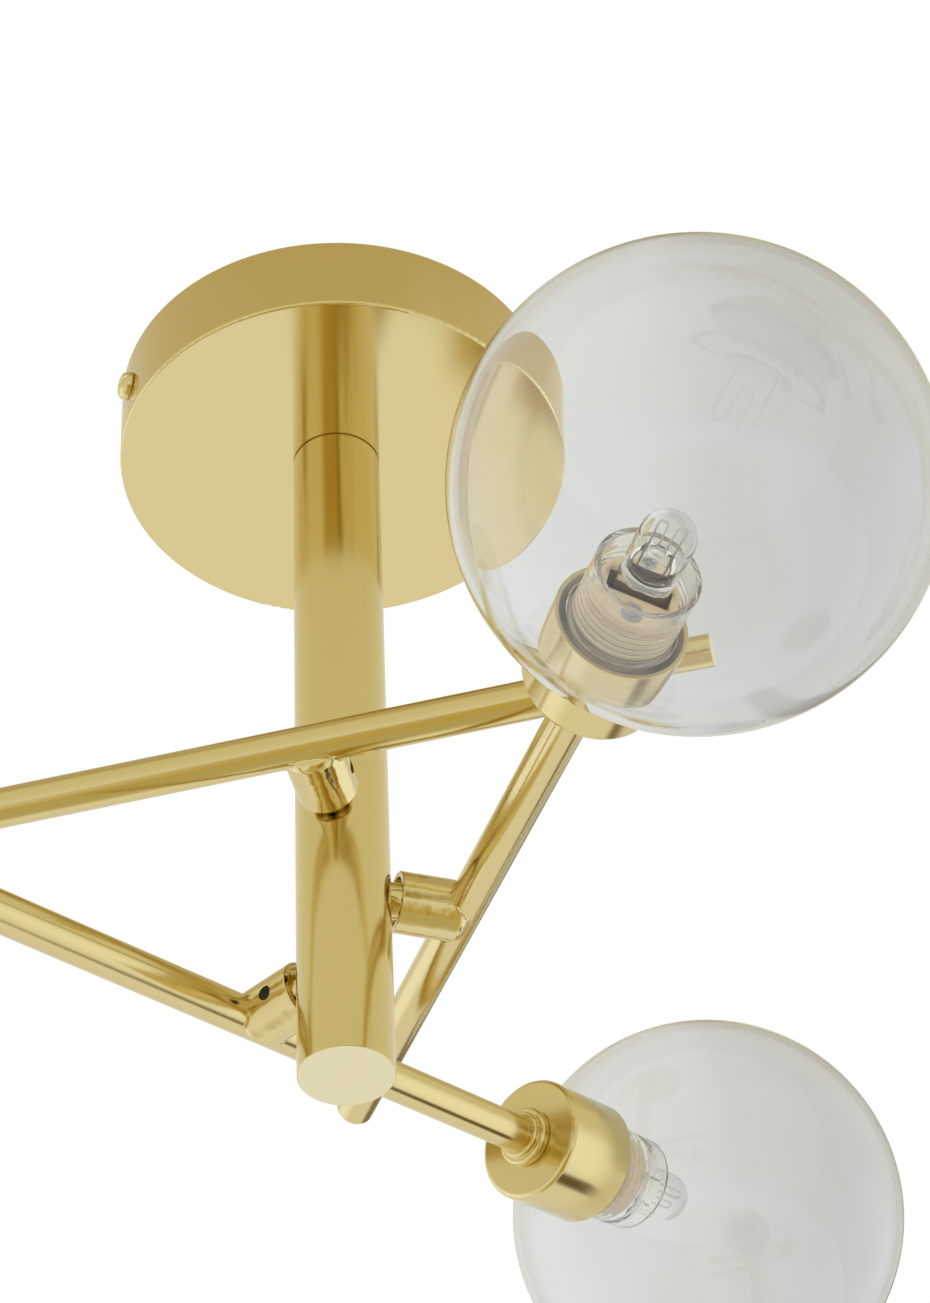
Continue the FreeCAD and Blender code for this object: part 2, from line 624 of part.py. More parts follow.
def grub_screw(arm):
    """Grub screw with a hexagon socket, seen as a dark hole in the side of the collar."""
    name = "grub_screw_%d" % arm
    tip = size("stub_dia") / 2 + 2 * size("turning_fit")
    length = "collar_dia / 2 - 0.5 - stub_dia / 2 - 2 * turning_fit"
    blank = simple("Cylinder", name + "_blank", Radius="grub_dia / 2 - thread_fit", Height=length)
    socket = hexagon(name + "_socket", "grub_socket", "collar_dia", Placement(Vector(0, 0, 0.5), Rotation()))
    solid = cut_from(name + "_solid", blank, [socket])
    lip = size("stem_dia") / 2 + size("collar_gap") - size("arm_offset")
    here = Placement(Vector(-tip, lip + size("grub_place"), 0), AXES["-X"])
    sub_part(solid, name, arm_place(arm) * here)


def arm_tube(arm):
    """Straight tube from the plug in its plain end to the ring behind the cup."""
    label = "arm_tube_%d" % arm
    body, feature = ring(label, "X", "arm_dia / 2 - arm_wall", "arm_dia / 2",
                         "-arm_back + plug_face", "cup_back - ring_socket")
    drill(body, "wire_hole", Vector(0, -size("arm_dia"), 0), "Y", "wire_way_dia / 2", "arm_dia")
    sub_part(body, label, arm_place(arm))


def arm_end_plug(arm):
    """Flat plug pressed into the plain end of the arm."""
    label = "arm_end_plug_%d" % arm
    spigot = "arm_dia / 2 - arm_wall - thread_fit"
    body = new_body(label)
    disc = turned(body, "disc", [
        ("-arm_back", "0"), ("-arm_back", "arm_dia / 2"), ("-arm_back + plug_face", "arm_dia / 2"),
        ("-arm_back + plug_face", spigot), ("-arm_back + plug_face + plug_spigot", spigot),
        ("-arm_back + plug_face + plug_spigot", "0")], "X")
    rim = circles(disc, size("arm_dia") / 2, -size("arm_back"), "X")
    dressed(body, "Fillet", "edge", disc, rim, "0.4")
    sub_part(body, label, arm_place(arm))


def cup_ring(arm):
    """Stepped ring brazed round the arm; its threaded end passes through the back of the cup."""
    label = "cup_ring_%d" % arm
    face = "cup_back - ring_height"
    socket = "arm_dia / 2 + thread_fit"
    body = new_body(label)
    blank = turned(body, "blank", [
        (face + " - ring_step", socket), (face + " - ring_step", "ring_step_dia / 2"),
        (face, "ring_step_dia / 2"), (face, "ring_dia / 2"), ("cup_back", "ring_dia / 2"),
        ("cup_back", "nipple_dia / 2"), ("cup_back + coupling_length", "nipple_dia / 2"),
        ("cup_back + coupling_length", "nipple_bore / 2"), ("cup_back - ring_socket", "nipple_bore / 2"),
        ("cup_back - ring_socket", socket)], "X")
    face_x = size("cup_back") - size("ring_height")
    edges = circles(blank, size("ring_dia") / 2, face_x, "X")
    edges += circles(blank, size("ring_dia") / 2, size("cup_back"), "X")
    beaded = dressed(body, "Fillet", "bead", blank, edges, "ring_height * 0.3")
    step = circles(beaded, size("ring_step_dia") / 2, face_x - size("ring_step"), "X")
    dressed(body, "Fillet", "step_bead", beaded, step, "ring_step * 0.4")
    sub_part(body, label, arm_place(arm))


def lamp_cup(arm):
    """Drawn brass cup with a rounded back edge, open towards the globe."""
    label = "lamp_cup_%d" % arm
    outer = "cup_dia / 2"
    hole = "nipple_dia / 2 + 2 * thread_fit"
    rim = "globe_reach - sqrt(globe_dia ^ 2 / 4 - (cup_dia / 2 - cup_wall) ^ 2) - globe_gap"
    body = new_body(label)
    shell = turned(body, "shell", [
        ("cup_back", hole), ("cup_back", outer), (rim, outer), (rim, outer + " - cup_wall"),
        ("cup_back + cup_wall", outer + " - cup_wall"), ("cup_back + cup_wall", hole)], "X")
    back = circles(shell, size("cup_dia") / 2, size("cup_back"), "X")
    rounded = dressed(body, "Fillet", "back_edge", shell, back, "cup_corner")
    corner = circles(rounded, size("cup_dia") / 2 - size("cup_wall"),
                     size("cup_back") + size("cup_wall"), "X")
    dressed(body, "Fillet", "inner_corner", rounded, corner, "cup_corner - cup_wall * 0.8")
    sub_part(body, label, arm_place(arm))


# ---------------------------------------------------------------- lampholder in its threaded sleeve

SLEEVE = "mouth_dia / 2 - mouth_glass - globe_thread_fit"
LEDGE_TOP = "holder_face - holder_height"


def thread_sleeve(arm):
    """Threaded sleeve: clamps the cup, carries the lampholder on a ledge, takes the globe's neck."""
    label = "thread_sleeve_%d" % arm
    start = "cup_back + cup_wall"
    bore = SLEEVE + " - sleeve_wall"
    thread = "nipple_dia / 2 + thread_fit"
    body = new_body(label)
    turned(body, "barrel", [
        (start, thread), (start, SLEEVE), ("sleeve_end", SLEEVE), ("sleeve_end", bore),
        (LEDGE_TOP, bore), (LEDGE_TOP, "ledge_bore / 2"), (LEDGE_TOP + " - ledge_height", "ledge_bore / 2"),
        (LEDGE_TOP + " - ledge_height", bore), (start + " + sleeve_floor", bore),
        (start + " + sleeve_floor", thread)], "X")
    ledge = size("holder_face") - size("holder_height")
    for side in (-1, 1):
        at = Vector(ledge + 1, 0, side * size("holder_screw_pitch") / 2)
        drill(body, "screw_thread", at, "-X", "holder_screw_dia / 2", "ledge_height + 2")
    sub_part(body, label, lamp_place(arm))


def lampholder(arm):
    """G9 lampholder: a slot for the bulb's pinched base, two contact pockets, two screw holes."""
    label = "lampholder_%d" % arm
    face = size("holder_face")
    radius = SLEEVE + " - sleeve_wall - thread_fit"
    body = new_body(label)
    barrel = turned(body, "barrel", [
        (LEDGE_TOP, "0"), (LEDGE_TOP, radius), ("holder_face", radius), ("holder_face", "0")], "X")
    edge = size("mouth_dia") / 2 - size("mouth_glass") - size("globe_thread_fit")
    edge -= size("sleeve_wall") + size("thread_fit")
    dressed(body, "Chamfer", "edge", barrel, circles(barrel, edge, face, "X"), "0.3")
    deep = size("slot_depth")
    box(body, "Subtractive", "base_slot",
        Vector(face - deep, -size("slot_length") / 2, -size("slot_width") / 2),
        "slot_depth + 1", "slot_length", "slot_width")
    for side in (-1, 1):
        pocket_low = Vector(face - deep - size("contact_depth"),
                            side * size("contact_pitch") / 2 - size("slot_width") / 2, -1.7)
        box(body, "Subtractive", "contact_pocket", pocket_low, "contact_depth + 1", "slot_width", "3.4")
        at = Vector(face + 1, 0, side * size("holder_screw_pitch") / 2)
        drill(body, "screw_hole", at, "-X", "holder_screw_dia / 2 + thread_fit", "holder_height + 2")
        drill(body, "counterbore", at, "-X", "holder_screw_head_dia / 2 + thread_fit",
              "holder_screw_head + 1")
    sub_part(body, label, lamp_place(arm))


def holder_screws(arm):
    """The two cross-recessed screws through the face of the lampholder."""
    screws = []
    for side in (-1, 1):
        at = Vector(size("holder_face") - size("holder_screw_head"), 0,
                    side * size("holder_screw_pitch") / 2)
        screws.append(screw("holder_screw_%d_%d" % (arm, side + 2), Placement(at, AXES["X"]),
                            "holder_screw_dia", "holder_screw_head_dia", "holder_screw_head",
                            "holder_height - holder_screw_head + ledge_height", 0.6))
    group("holder_screw_group_%d" % arm, screws, "holder_screws_%d" % arm, lamp_place(arm))


def holder_contacts(arm):
    """Two folded bronze contacts that grip the looped pins of the bulb."""
    leaf = 0.4
    high = size("contact_depth") - 0.4
    wide = size("pin_loop") + 2 * size("pin_dia")
    inside = size("pin_dia") + 2 * size("moving_gap")
    contacts = []
    for side in (-1, 1):
        name = "contact_%d_%d" % (arm, side + 2)
        low_x = size("holder_face") - size("slot_depth") - size("contact_depth")
        y = side * size("contact_pitch") / 2
        channel = simple("Box", name + "_strip",
                         Placement(Vector(low_x, y - wide / 2, -inside / 2 - leaf), Rotation()),
                         Length="%g" % high, Width="%g" % wide, Height="%g" % (inside + 2 * leaf))
        gap = simple("Box", name + "_gap",
                     Placement(Vector(low_x + leaf, y - wide, -inside / 2), Rotation()),
                     Length="%g" % high, Width="%g" % (2 * wide), Height="%g" % inside)
        contacts.append(cut_from(name, channel, [gap]))
    group("contact_group_%d" % arm, contacts, "holder_contacts_%d" % arm, lamp_place(arm))


# ---------------------------------------------------------------- bulb

def bulb_glass(arm):
    """Clear capsule with a round tip on a flat pinched base; the capsule is hollow."""
    label = "bulb_glass_%d" % arm
    radius = size("bulb_dia") / 2
    tip_centre = size("bulb_tip") - radius
    body = new_body(label)
    low_x = size("holder_face") - size("pinch_depth")
    pinch = box(body, "Additive", "pinch",
                Vector(low_x, -size("pinch_width") / 2, -size("pinch_thick") / 2),
                "bulb_base + 1.5 - holder_face + pinch_depth", "pinch_width", "pinch_thick")
    long_edges = [
        "Edge%d" % number for number, edge in enumerate(pinch.Shape.Edges, 1)
        if abs(edge.Vertexes[0].X - edge.Vertexes[-1].X) > 1
    ]
    dressed(body, "Fillet", "pinch_edges", pinch, long_edges, "pinch_thick * 0.3")
    rod(body, "capsule", Vector(size("bulb_base"), 0, 0), "X", "bulb_dia / 2",
        "bulb_tip - bulb_base - bulb_dia / 2")
    primitive(body, "AdditiveSphere", "tip", Placement(Vector(tip_centre, 0, 0), Rotation()),
              Radius="bulb_dia / 2")
    bulb = body.Tip
    foot = circles(bulb, radius, size("bulb_base"), "X")
    if foot:
        dressed(body, "Fillet", "foot", bulb, foot, "bulb_dia * 0.12")
    drill(body, "hollow", Vector(size("bulb_base") + 2.5, 0, 0), "X", "bulb_dia / 2 - bulb_glass",
          "bulb_tip - bulb_base - bulb_dia / 2 - 2.5")
    primitive(body, "SubtractiveSphere", "hollow_tip", Placement(Vector(tip_centre, 0, 0), Rotation()),
              Radius="bulb_dia / 2 - bulb_glass")
    sub_part(body, label, lamp_place(arm))


def bent_wire(name, path, thickness):
    """A round wire along a flat path of lines and arcs."""
    spine = Part.Wire(path)
    start = path[0].valueAt(path[0].FirstParameter)
    along = path[0].tangentAt(path[0].FirstParameter)
    section = Part.Wire([Part.Circle(start, along, thickness / 2).toShape()])
    wire = doc.addObject("Part::Feature", name)
    wire.Shape = spine.makePipeShell([section], True, True)
    return wire


def bulb_wires(arm):
    """Looped pins below the pinch, and the filament on its two leads inside the capsule."""
    wires = []
    pinch_end = size("holder_face") - size("pinch_depth")
    half = size("pin_loop") / 2
    for side in (-1, 1):
        y = side * size("contact_pitch") / 2
        bottom = pinch_end - size("pin_length") + half
        left, right = Vector(bottom, y - half, 0), Vector(bottom, y + half, 0)
        path = [
            Part.LineSegment(Vector(pinch_end, y - half, 0), left).toShape(),
            Part.Arc(left, Vector(bottom - half, y, 0), right).toShape(),
            Part.LineSegment(right, Vector(pinch_end, y + half, 0)).toShape(),
        ]
        wires.append(bent_wire("pin_%d_%d" % (arm, side + 2), path, size("pin_dia")))
    foot = size("bulb_base") + 2.5
    high = size("bulb_tip") - size("bulb_dia") / 2 + 1.2
    reach = size("bulb_dia") / 2 - size("bulb_glass") - 2.6
    bend = reach / 3
    low = high - size("filament_height")
    path = []
    at = Vector(foot, -reach, 0)
    for number in range(4):
        y = -reach + (2 * number) * bend
        if number == 3:
            path.append(Part.LineSegment(at, Vector(foot, reach, 0)).toShape())
            break
        rising = number % 2 == 0
        turn_x = high if rising else low
        corner = Vector(turn_x, y, 0)
        crown = Vector(turn_x + (bend if rising else -bend), y + bend, 0)
        leave = Vector(turn_x, y + 2 * bend, 0)
        path.append(Part.LineSegment(at, corner).toShape())
        path.append(Part.Arc(corner, crown, leave).toShape())
        at = leave
    wires.append(bent_wire("filament_%d" % arm, path, size("filament_dia")))
    group("bulb_wire_group_%d" % arm, wires, "bulb_wires_%d" % arm, lamp_place(arm))


# ---------------------------------------------------------------- globe

def globe(arm):
    """Blown clear ball with the hole that its neck is fused into."""
    label = "globe_%d" % arm
    centre = Placement(Vector(size("globe_reach"), 0, 0), Rotation())
    body = new_body(label)
    primitive(body, "AdditiveSphere", "outside", centre, Radius="globe_dia / 2")
    primitive(body, "SubtractiveSphere", "inside", centre, Radius="globe_dia / 2 - globe_glass")
    drill(body, "mouth", Vector(size("globe_reach") - size("globe_dia"), 0, 0), "X",
          "mouth_dia / 2 + thread_fit", "globe_dia")
    sub_part(body, label, arm_place(arm))


def globe_neck(arm):
    """Threaded neck, turned inwards from the mouth of the ball."""
    label = "globe_neck_%d" % arm
    outer, inner = size("mouth_dia") / 2, size("mouth_dia") / 2 - size("mouth_glass")
    mouth = size("globe_reach") - math.sqrt((size("globe_dia") / 2) ** 2 - outer ** 2) - size("mouth_lip")
    free = size("globe_reach") - size("mouth_edge")
    body, tube = ring(label, "X", "mouth_dia / 2 - mouth_glass", "mouth_dia / 2",
                      "%.6f" % mouth, "globe_reach - mouth_edge")
    edges = [name for station in (mouth, free) for radius in (outer, inner)
             for name in circles(tube, radius, station, "X")]
    dressed(body, "Fillet", "fire_polish", tube, edges, "mouth_glass * 0.3")
    sub_part(body, label, arm_place(arm))


# ---------------------------------------------------------------- assembly

ceiling_bracket()
terminal_block()
terminal_screws()
earth_screw()
canopy()
canopy_screw("canopy_screw_left", -1)
canopy_screw("canopy_screw_right", 1)
stem()
stub_nuts()
for number in ARMS:
    arm_stub(number)
    arm_collar(number)
    grub_screw(number)
    arm_tube(number)
    arm_end_plug(number)
    cup_ring(number)
    lamp_cup(number)
    thread_sleeve(number)
    lampholder(number)
    holder_screws(number)
    holder_contacts(number)
    bulb_glass(number)
    bulb_wires(number)
    globe(number)
    globe_neck(number)

doc.recompute()
for item in doc.Objects:
    if "Invalid" in item.State or "Error" in item.State:
        raise RuntimeError("%s did not build: %s" % (item.Label, item.State))
for part in SUB_PARTS:
    if part.Shape.isNull() or not part.Shape.isValid() or not part.Shape.Solids:
        raise RuntimeError("%s has no valid solid" % part.Label)

os.makedirs("parts", exist_ok=True)
for part in SUB_PARTS:
    part.Shape.exportStep("parts/%s.step" % part.Label)
print("%d sub-parts" % len(SUB_PARTS))
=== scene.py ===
import bmesh
import bpy
import math
from mathutils import Matrix, Vector


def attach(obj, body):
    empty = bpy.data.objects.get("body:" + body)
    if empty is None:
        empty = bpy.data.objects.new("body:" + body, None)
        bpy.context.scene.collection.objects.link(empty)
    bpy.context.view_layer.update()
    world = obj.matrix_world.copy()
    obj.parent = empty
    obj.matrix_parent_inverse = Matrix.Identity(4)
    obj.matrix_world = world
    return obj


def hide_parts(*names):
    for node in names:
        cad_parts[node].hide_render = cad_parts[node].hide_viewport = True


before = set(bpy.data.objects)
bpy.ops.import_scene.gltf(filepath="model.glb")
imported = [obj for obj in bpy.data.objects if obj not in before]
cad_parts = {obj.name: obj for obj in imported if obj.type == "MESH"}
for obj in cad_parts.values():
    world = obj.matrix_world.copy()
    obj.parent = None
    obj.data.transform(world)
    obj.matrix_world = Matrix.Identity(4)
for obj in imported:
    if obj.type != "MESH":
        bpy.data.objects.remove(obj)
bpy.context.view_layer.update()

# ------------------------------------------------------------------ studio
# The light hangs in a white light tent: the background is white, the tent behind the glass is a
# pale grey, and the metal mirrors the tent's walls, which go on below the plain pale floor.  The
# camera stands where the lines of the stem, the canopy and the arms in the photo put it.

CAMERA_PLACE = (-0.2499, -0.7340, -0.8320)
CAMERA_TURNS = (-21.37, 43.29, -2.71)
FILM_HEIGHT = 36
FOCAL_LENGTH = 106.32

yaw, pitch, roll = (math.radians(angle) for angle in CAMERA_TURNS)
right = Vector((math.cos(yaw), math.sin(yaw), 0))
ahead = Vector((-math.sin(yaw) * math.cos(pitch), math.cos(yaw) * math.cos(pitch),
                math.sin(pitch)))
above = right.cross(ahead)
camera_x = math.cos(roll) * right + math.sin(roll) * above
camera_y = -math.sin(roll) * right + math.cos(roll) * above
lens = bpy.data.cameras.new("camera")
lens.sensor_fit = "VERTICAL"
lens.sensor_height = FILM_HEIGHT
lens.lens = FOCAL_LENGTH
lens.clip_end = 30
camera = bpy.data.objects.new("camera", lens)
camera.matrix_world = (Matrix.Translation(CAMERA_PLACE)
                       @ Matrix((camera_x, camera_y, -ahead)).transposed().to_4x4())
bpy.context.collection.objects.link(camera)
bpy.context.scene.camera = camera
bpy.context.scene.view_settings.view_transform = "Standard"


def material(name, base_color, roughness, metallic=0.0):
    """A new material and its Principled BSDF."""
    made = bpy.data.materials.new(name)
    made.use_nodes = True
    made.diffuse_color = (*base_color, 1)
    surface = made.node_tree.nodes["Principled BSDF"]
    surface.inputs["Base Color"].default_value = (*base_color, 1)
    surface.inputs["Roughness"].default_value = roughness
    surface.inputs["Metallic"].default_value = metallic
    return made, surface


def add(made, kind, **values):
    """A node in a material, world or group; values go on its sockets, or on the node itself."""
    tree = getattr(made, "node_tree", None) or made
    node = tree.nodes.new(kind)
    for key, value in values.items():
        if key in node.inputs:
            node.inputs[key].default_value = value
        else:
            setattr(node, key, value)
    return node


def join(made, source, target):
    """Links an output to an input."""
    tree = getattr(made, "node_tree", None) or made
    tree.links.new(source, target)


def mapped(made, source, start, end, low, high, kind="SMOOTHSTEP"):
    """Maps a value from start..end to low..high and gives the new output."""
    step = add(made, "ShaderNodeMapRange", interpolation_type=kind)
    for key, value in zip(("From Min", "From Max", "To Min", "To Max"), (start, end, low, high)):
        step.inputs[key].default_value = value
    join(made, source, step.inputs["Value"])
    return step.outputs["Result"]


def combined(made, one, other, operation="MULTIPLY"):
    """Multiplies, or else adds, compares and so on, two outputs or an output and a number."""
    step = add(made, "ShaderNodeMath", operation=operation)
    for source, socket in zip((one, other), step.inputs):
        if isinstance(source, (int, float)):
            socket.default_value = source
        else:
            join(made, source, socket)
    return step.outputs[0]


def blended(made, factor, one, other):
    """Mixes two colours, each an output or three numbers."""
    step = add(made, "ShaderNodeMix", data_type="RGBA")
    join(made, factor, step.inputs[0])
    for source, socket in ((one, step.inputs[6]), (other, step.inputs[7])):
        if isinstance(source, tuple):
            socket.default_value = (*source, 1)
        else:
            join(made, source, socket)
    return step.outputs[2]


def ramped(made, source, stops):
    """A colour for each level of a value, from (level, colour) stops in rising order."""
    ramp = add(made, "ShaderNodeValToRGB")
    join(made, source, ramp.inputs["Fac"])
    bands = ramp.color_ramp.elements
    for number, (level, shade) in enumerate(stops):
        band = bands[number] if number < 2 else bands.new(level)
        band.position = level
        band.color = (*shade, 1)
    return ramp.outputs["Color"]


tent = bpy.data.worlds.new("light tent")
bpy.context.scene.world = tent
tent.use_nodes = True
tent.node_tree.nodes.clear()
path = add(tent, "ShaderNodeLightPath")
outlook = add(tent, "ShaderNodeTexCoord")


def towards(x, y, z):
    """How far a direction of the tent points along a fixed one."""
    share = add(tent, "ShaderNodeVectorMath", operation="DOT_PRODUCT")
    share.inputs[1].default_value = (x, y, z)
    join(tent, outlook.outputs["Generated"], share.inputs[0])
    return share.outputs["Value"]


# The walls by height, from straight below the light to straight above it.
WALL_SHADES = ((0.0, (0.58, 0.52, 0.30)), (0.05, (0.64, 0.58, 0.38)), (0.12, (0.95, 0.97, 1.08)),
               (0.40, (0.84, 0.84, 0.82)), (0.55, (0.80, 0.79, 0.72)), (0.84, (0.78, 0.75, 0.60)),
               (0.90, (0.60, 0.52, 0.30)), (1.0, (0.54, 0.48, 0.34)))
height = towards(0, 0, 1)
walls = ramped(tent, mapped(tent, height, -1, 1, 0, 1, "LINEAR"), WALL_SHADES)

# Two walls are lit from outside.
LIT_WALLS = ((1.0, 0.01, -0.1), (-0.727, 0.687, -0.1))
LIT_WHITE = (1.12, 1.18, 1.35)
for wall in LIT_WALLS:
    walls = blended(tent, mapped(tent, towards(*wall), 0.80, 0.96, 0, 1), walls, LIT_WHITE)

# A dark upright seam in the back wall, which the upper stem mirrors as a long streak.
BACK_WALL = (0.593, 0.805, 0)
ALONG_BACK_WALL = (-0.805, 0.593, 0)
SEAM_SHADE = (0.20, 0.15, 0.07)
from_seam = combined(tent, towards(*ALONG_BACK_WALL), 0, "ABSOLUTE")
seam = mapped(tent, from_seam, 0.035, 0.085, 1, 0)
seam = combined(tent, seam, mapped(tent, towards(*BACK_WALL), 0.1, 0.3, 0, 1))
seam = combined(tent, seam, mapped(tent, height, 0.45, 0.65, 1, 0))
seam = combined(tent, seam, mapped(tent, height, -0.30, -0.42, 1, 0))
walls = blended(tent, seam, walls, SEAM_SHADE)

# Through the glass the tent is grey, and deepens to the right past a sharp fold.
TO_THE_RIGHT = (0.931, -0.364, 0)
PAST_THE_FOLD = (0.900, -0.435, 0)
PALE_GREY = (0.74, 0.745, 0.725)
DEEP_GREY = (0.545, 0.55, 0.53)
aside = towards(*TO_THE_RIGHT)
fold = mapped(tent, towards(*PAST_THE_FOLD), -0.012, 0.012, 0, 1)
slide = mapped(tent, aside, -0.02, 0.12, 0, 0.8, "LINEAR")
depth = combined(tent, slide, combined(tent, fold, 0.2), "ADD")
walls = blended(tent, path.outputs["Is Transmission Ray"], walls,
                blended(tent, depth, PALE_GREY, DEEP_GREY))

# Two warm bands low in the front wall, a wide and a narrow one, which the metal mirrors.  Each has
# its middle, the distance that it is full to, its end and its colour.
FRONT_WALL = (-0.364, -0.931, 0)
WARM_BANDS = ((0.04, 0.34, 0.50, (0.62, 0.50, 0.19)), (0.17, 0.06, 0.17, (0.42, 0.30, 0.06)))
low = combined(tent, mapped(tent, height, -0.42, -0.58, 0, 1),
               mapped(tent, height, -0.98, -0.90, 0, 1))
front = combined(tent, mapped(tent, towards(*FRONT_WALL), 0.1, 0.3, 0, 1), low)
for middle, full, end, shade in WARM_BANDS:
    off = combined(tent, combined(tent, aside, middle, "SUBTRACT"), 0, "ABSOLUTE")
    walls = blended(tent, combined(tent, mapped(tent, off, full, end, 1, 0), front), walls, shade)

# A dark spot below the horizon, which the cups mirror as short dark bars.
DARK_SPOT = (0.731, 0.335, -0.595)
SPOT_SHADE = (0.11, 0.075, 0.025)
walls = blended(tent, mapped(tent, towards(*DARK_SPOT), 0.981, 0.995, 0, 1), walls, SPOT_SHADE)

SOFT_LIGHT = (0.80, 0.80, 0.79)
BACKGROUND_WHITE = (1.0, 1.0, 1.0)
walls = blended(tent, path.outputs["Is Diffuse Ray"], walls, SOFT_LIGHT)
walls = blended(tent, path.outputs["Is Camera Ray"], walls, BACKGROUND_WHITE)
paper = add(tent, "ShaderNodeBackground")
join(tent, walls, paper.inputs["Color"])
join(tent, paper.outputs[0], add(tent, "ShaderNodeOutputWorld").inputs["Surface"])

# The floor glows a little for the camera and through the glass, so that it stays near white.  The
# metal doesn't mirror it, but the tent's walls below it.
FLOOR_RADIUS = 4.0
FLOOR_HEIGHT = -1.45
FLOOR_GLOW = 0.7
floor_paint, surface = material("studio floor", (0.86, 0.86, 0.85), 0.7)
where = add(floor_paint, "ShaderNodeTexCoord")
speck = add(floor_paint, "ShaderNodeTexNoise", Scale=0.75, Detail=3.0)
join(floor_paint, where.outputs["Object"], speck.inputs["Vector"])
gloss = mapped(floor_paint, speck.outputs["Fac"], 0, 1, 0.62, 0.78)
join(floor_paint, gloss, surface.inputs["Roughness"])
path = add(floor_paint, "ShaderNodeLightPath")
seen = combined(floor_paint, path.outputs["Is Camera Ray"], path.outputs["Is Transmission Ray"],
                "MAXIMUM")
glow = add(floor_paint, "ShaderNodeEmission", Strength=1.0)
cover = add(floor_paint, "ShaderNodeMixShader")
join(floor_paint, combined(floor_paint, seen, FLOOR_GLOW), cover.inputs[0])
join(floor_paint, surface.outputs[0], cover.inputs[1])
join(floor_paint, glow.outputs[0], cover.inputs[2])
output = floor_paint.node_tree.nodes["Material Output"]
join(floor_paint, cover.outputs[0], output.inputs["Surface"])
sheet = bmesh.new()
bmesh.ops.create_circle(sheet, cap_ends=True, segments=64, radius=FLOOR_RADIUS)
bmesh.ops.translate(sheet, vec=(0, 0, FLOOR_HEIGHT), verts=sheet.verts)
floor_mesh = bpy.data.meshes.new("floor")
sheet.to_mesh(floor_mesh)
sheet.free()
floor_mesh.materials.append(floor_paint)
floor = bpy.data.objects.new("floor", floor_mesh)
bpy.context.collection.objects.link(floor)
floor.visible_glossy = False

LAMPS_FACE = (0, 0, -0.15)


def softbox(name, place, size, power):
    """A square soft lamp that faces the light; the metal and the glass don't show it."""
    lamp = bpy.data.lights.new(name, "AREA")
    lamp.shape = "SQUARE"
    lamp.size = size
    lamp.energy = power
    box = bpy.data.objects.new(name, lamp)
    box.location = place
    box.rotation_euler = (Vector(place) - Vector(LAMPS_FACE)).to_track_quat("Z", "Y").to_euler()
    box.visible_glossy = False
    box.visible_transmission = False
    bpy.context.collection.objects.link(box)


softbox("key lamp", (-1.3, -1.0, 0.5), 0.9, 10)
softbox("side lamp", (1.5, -0.7, -0.1), 0.8, 6)

# ------------------------------------------------------------------ strap, wiring and canopy
# The folded steel strap, its terminal block and screws sit inside the spun canopy; the canopy is a
# brass cup with a small rounding at its edge and a side screw at each end of the strap.  Sizes and
# places of pieces are in millimetres from here on.

MM = 0.001
ROOT = "ceiling_mount"
CANOPY_FACE = -25.5
CANOPY_INSIDE = 61.6
SIDE_SCREW_HEIGHT = -12.7

upright = Matrix.Rotation(math.radians(-90), 4, "Y")


def grain_map(mesh):
    """UVs of a piece about its X axis: u along the axis, or outwards on its ends; v round it."""
    facing_end = 0.8
    round_scale = 0.01
    layer = mesh.loops.layers.uv.new("UVMap")
    for face in mesh.faces:
        on_end = abs(face.normal.x) > facing_end
        first = None
        for loop in face.loops:
            point = loop.vert.co
            angle = math.atan2(point.z, point.y)
            if first is None:
                first = angle
            angle -= round((angle - first) / math.tau) * math.tau
            along = math.hypot(point.y, point.z) if on_end else point.x
            loop[layer].uv = (along, angle * round_scale)


def finished(name, mesh, place, body, finish, nodes, sharp=32):
    """Turns a mesh about X into a piece in its place on its body, standing for its CAD nodes."""
    grain_map(mesh)
    bmesh.ops.transform(mesh, matrix=place, verts=mesh.verts)
    data = bpy.data.meshes.new(name)
    mesh.to_mesh(data)
    mesh.free()
    data.polygons.foreach_set("use_smooth", [True] * len(data.polygons))
    data.set_sharp_from_angle(angle=math.radians(sharp))
    data.materials.append(finish)
    made = bpy.data.objects.new(name, data)
    bpy.context.collection.objects.link(made)
    weighted = made.modifiers.new("even shading", "WEIGHTED_NORMAL")
    weighted.keep_sharp = True
    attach(made, body)
    if nodes:
        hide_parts(*nodes)
    return made


def from_solid(node, place, body, finish, sharp=32):
    """A smoothly shaded copy of a CAD node, which keeps its true shape."""
    mesh = bmesh.new()
    mesh.from_mesh(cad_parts[node].data)
    bmesh.ops.remove_doubles(mesh, verts=mesh.verts, dist=2e-6)
    mesh.normal_update()
    bmesh.ops.transform(mesh, matrix=place.inverted(), verts=mesh.verts)
    return finished(node + "_form", mesh, place, body, finish, [node], sharp)


def second_finish(piece, finish, place, chosen):
    """Gives the faces that chosen(station, radius, lean) picks another finish.

    Station and radius are those of the face's middle on the piece's own axis; lean is how far the
    face looks along that axis.
    """
    piece.data.materials.append(finish)
    into_piece = place.inverted()
    for face in piece.data.polygons:
        middle = into_piece @ face.center / MM
        lean = (into_piece.to_3x3() @ face.normal).x
        face.material_index = int(chosen(middle.x, math.hypot(middle.y, middle.z), lean))


# Every visible metal piece is brass with a fine turned grain under clear lacquer.  The grain runs
# round each piece, so reflections are drawn out along its axis.


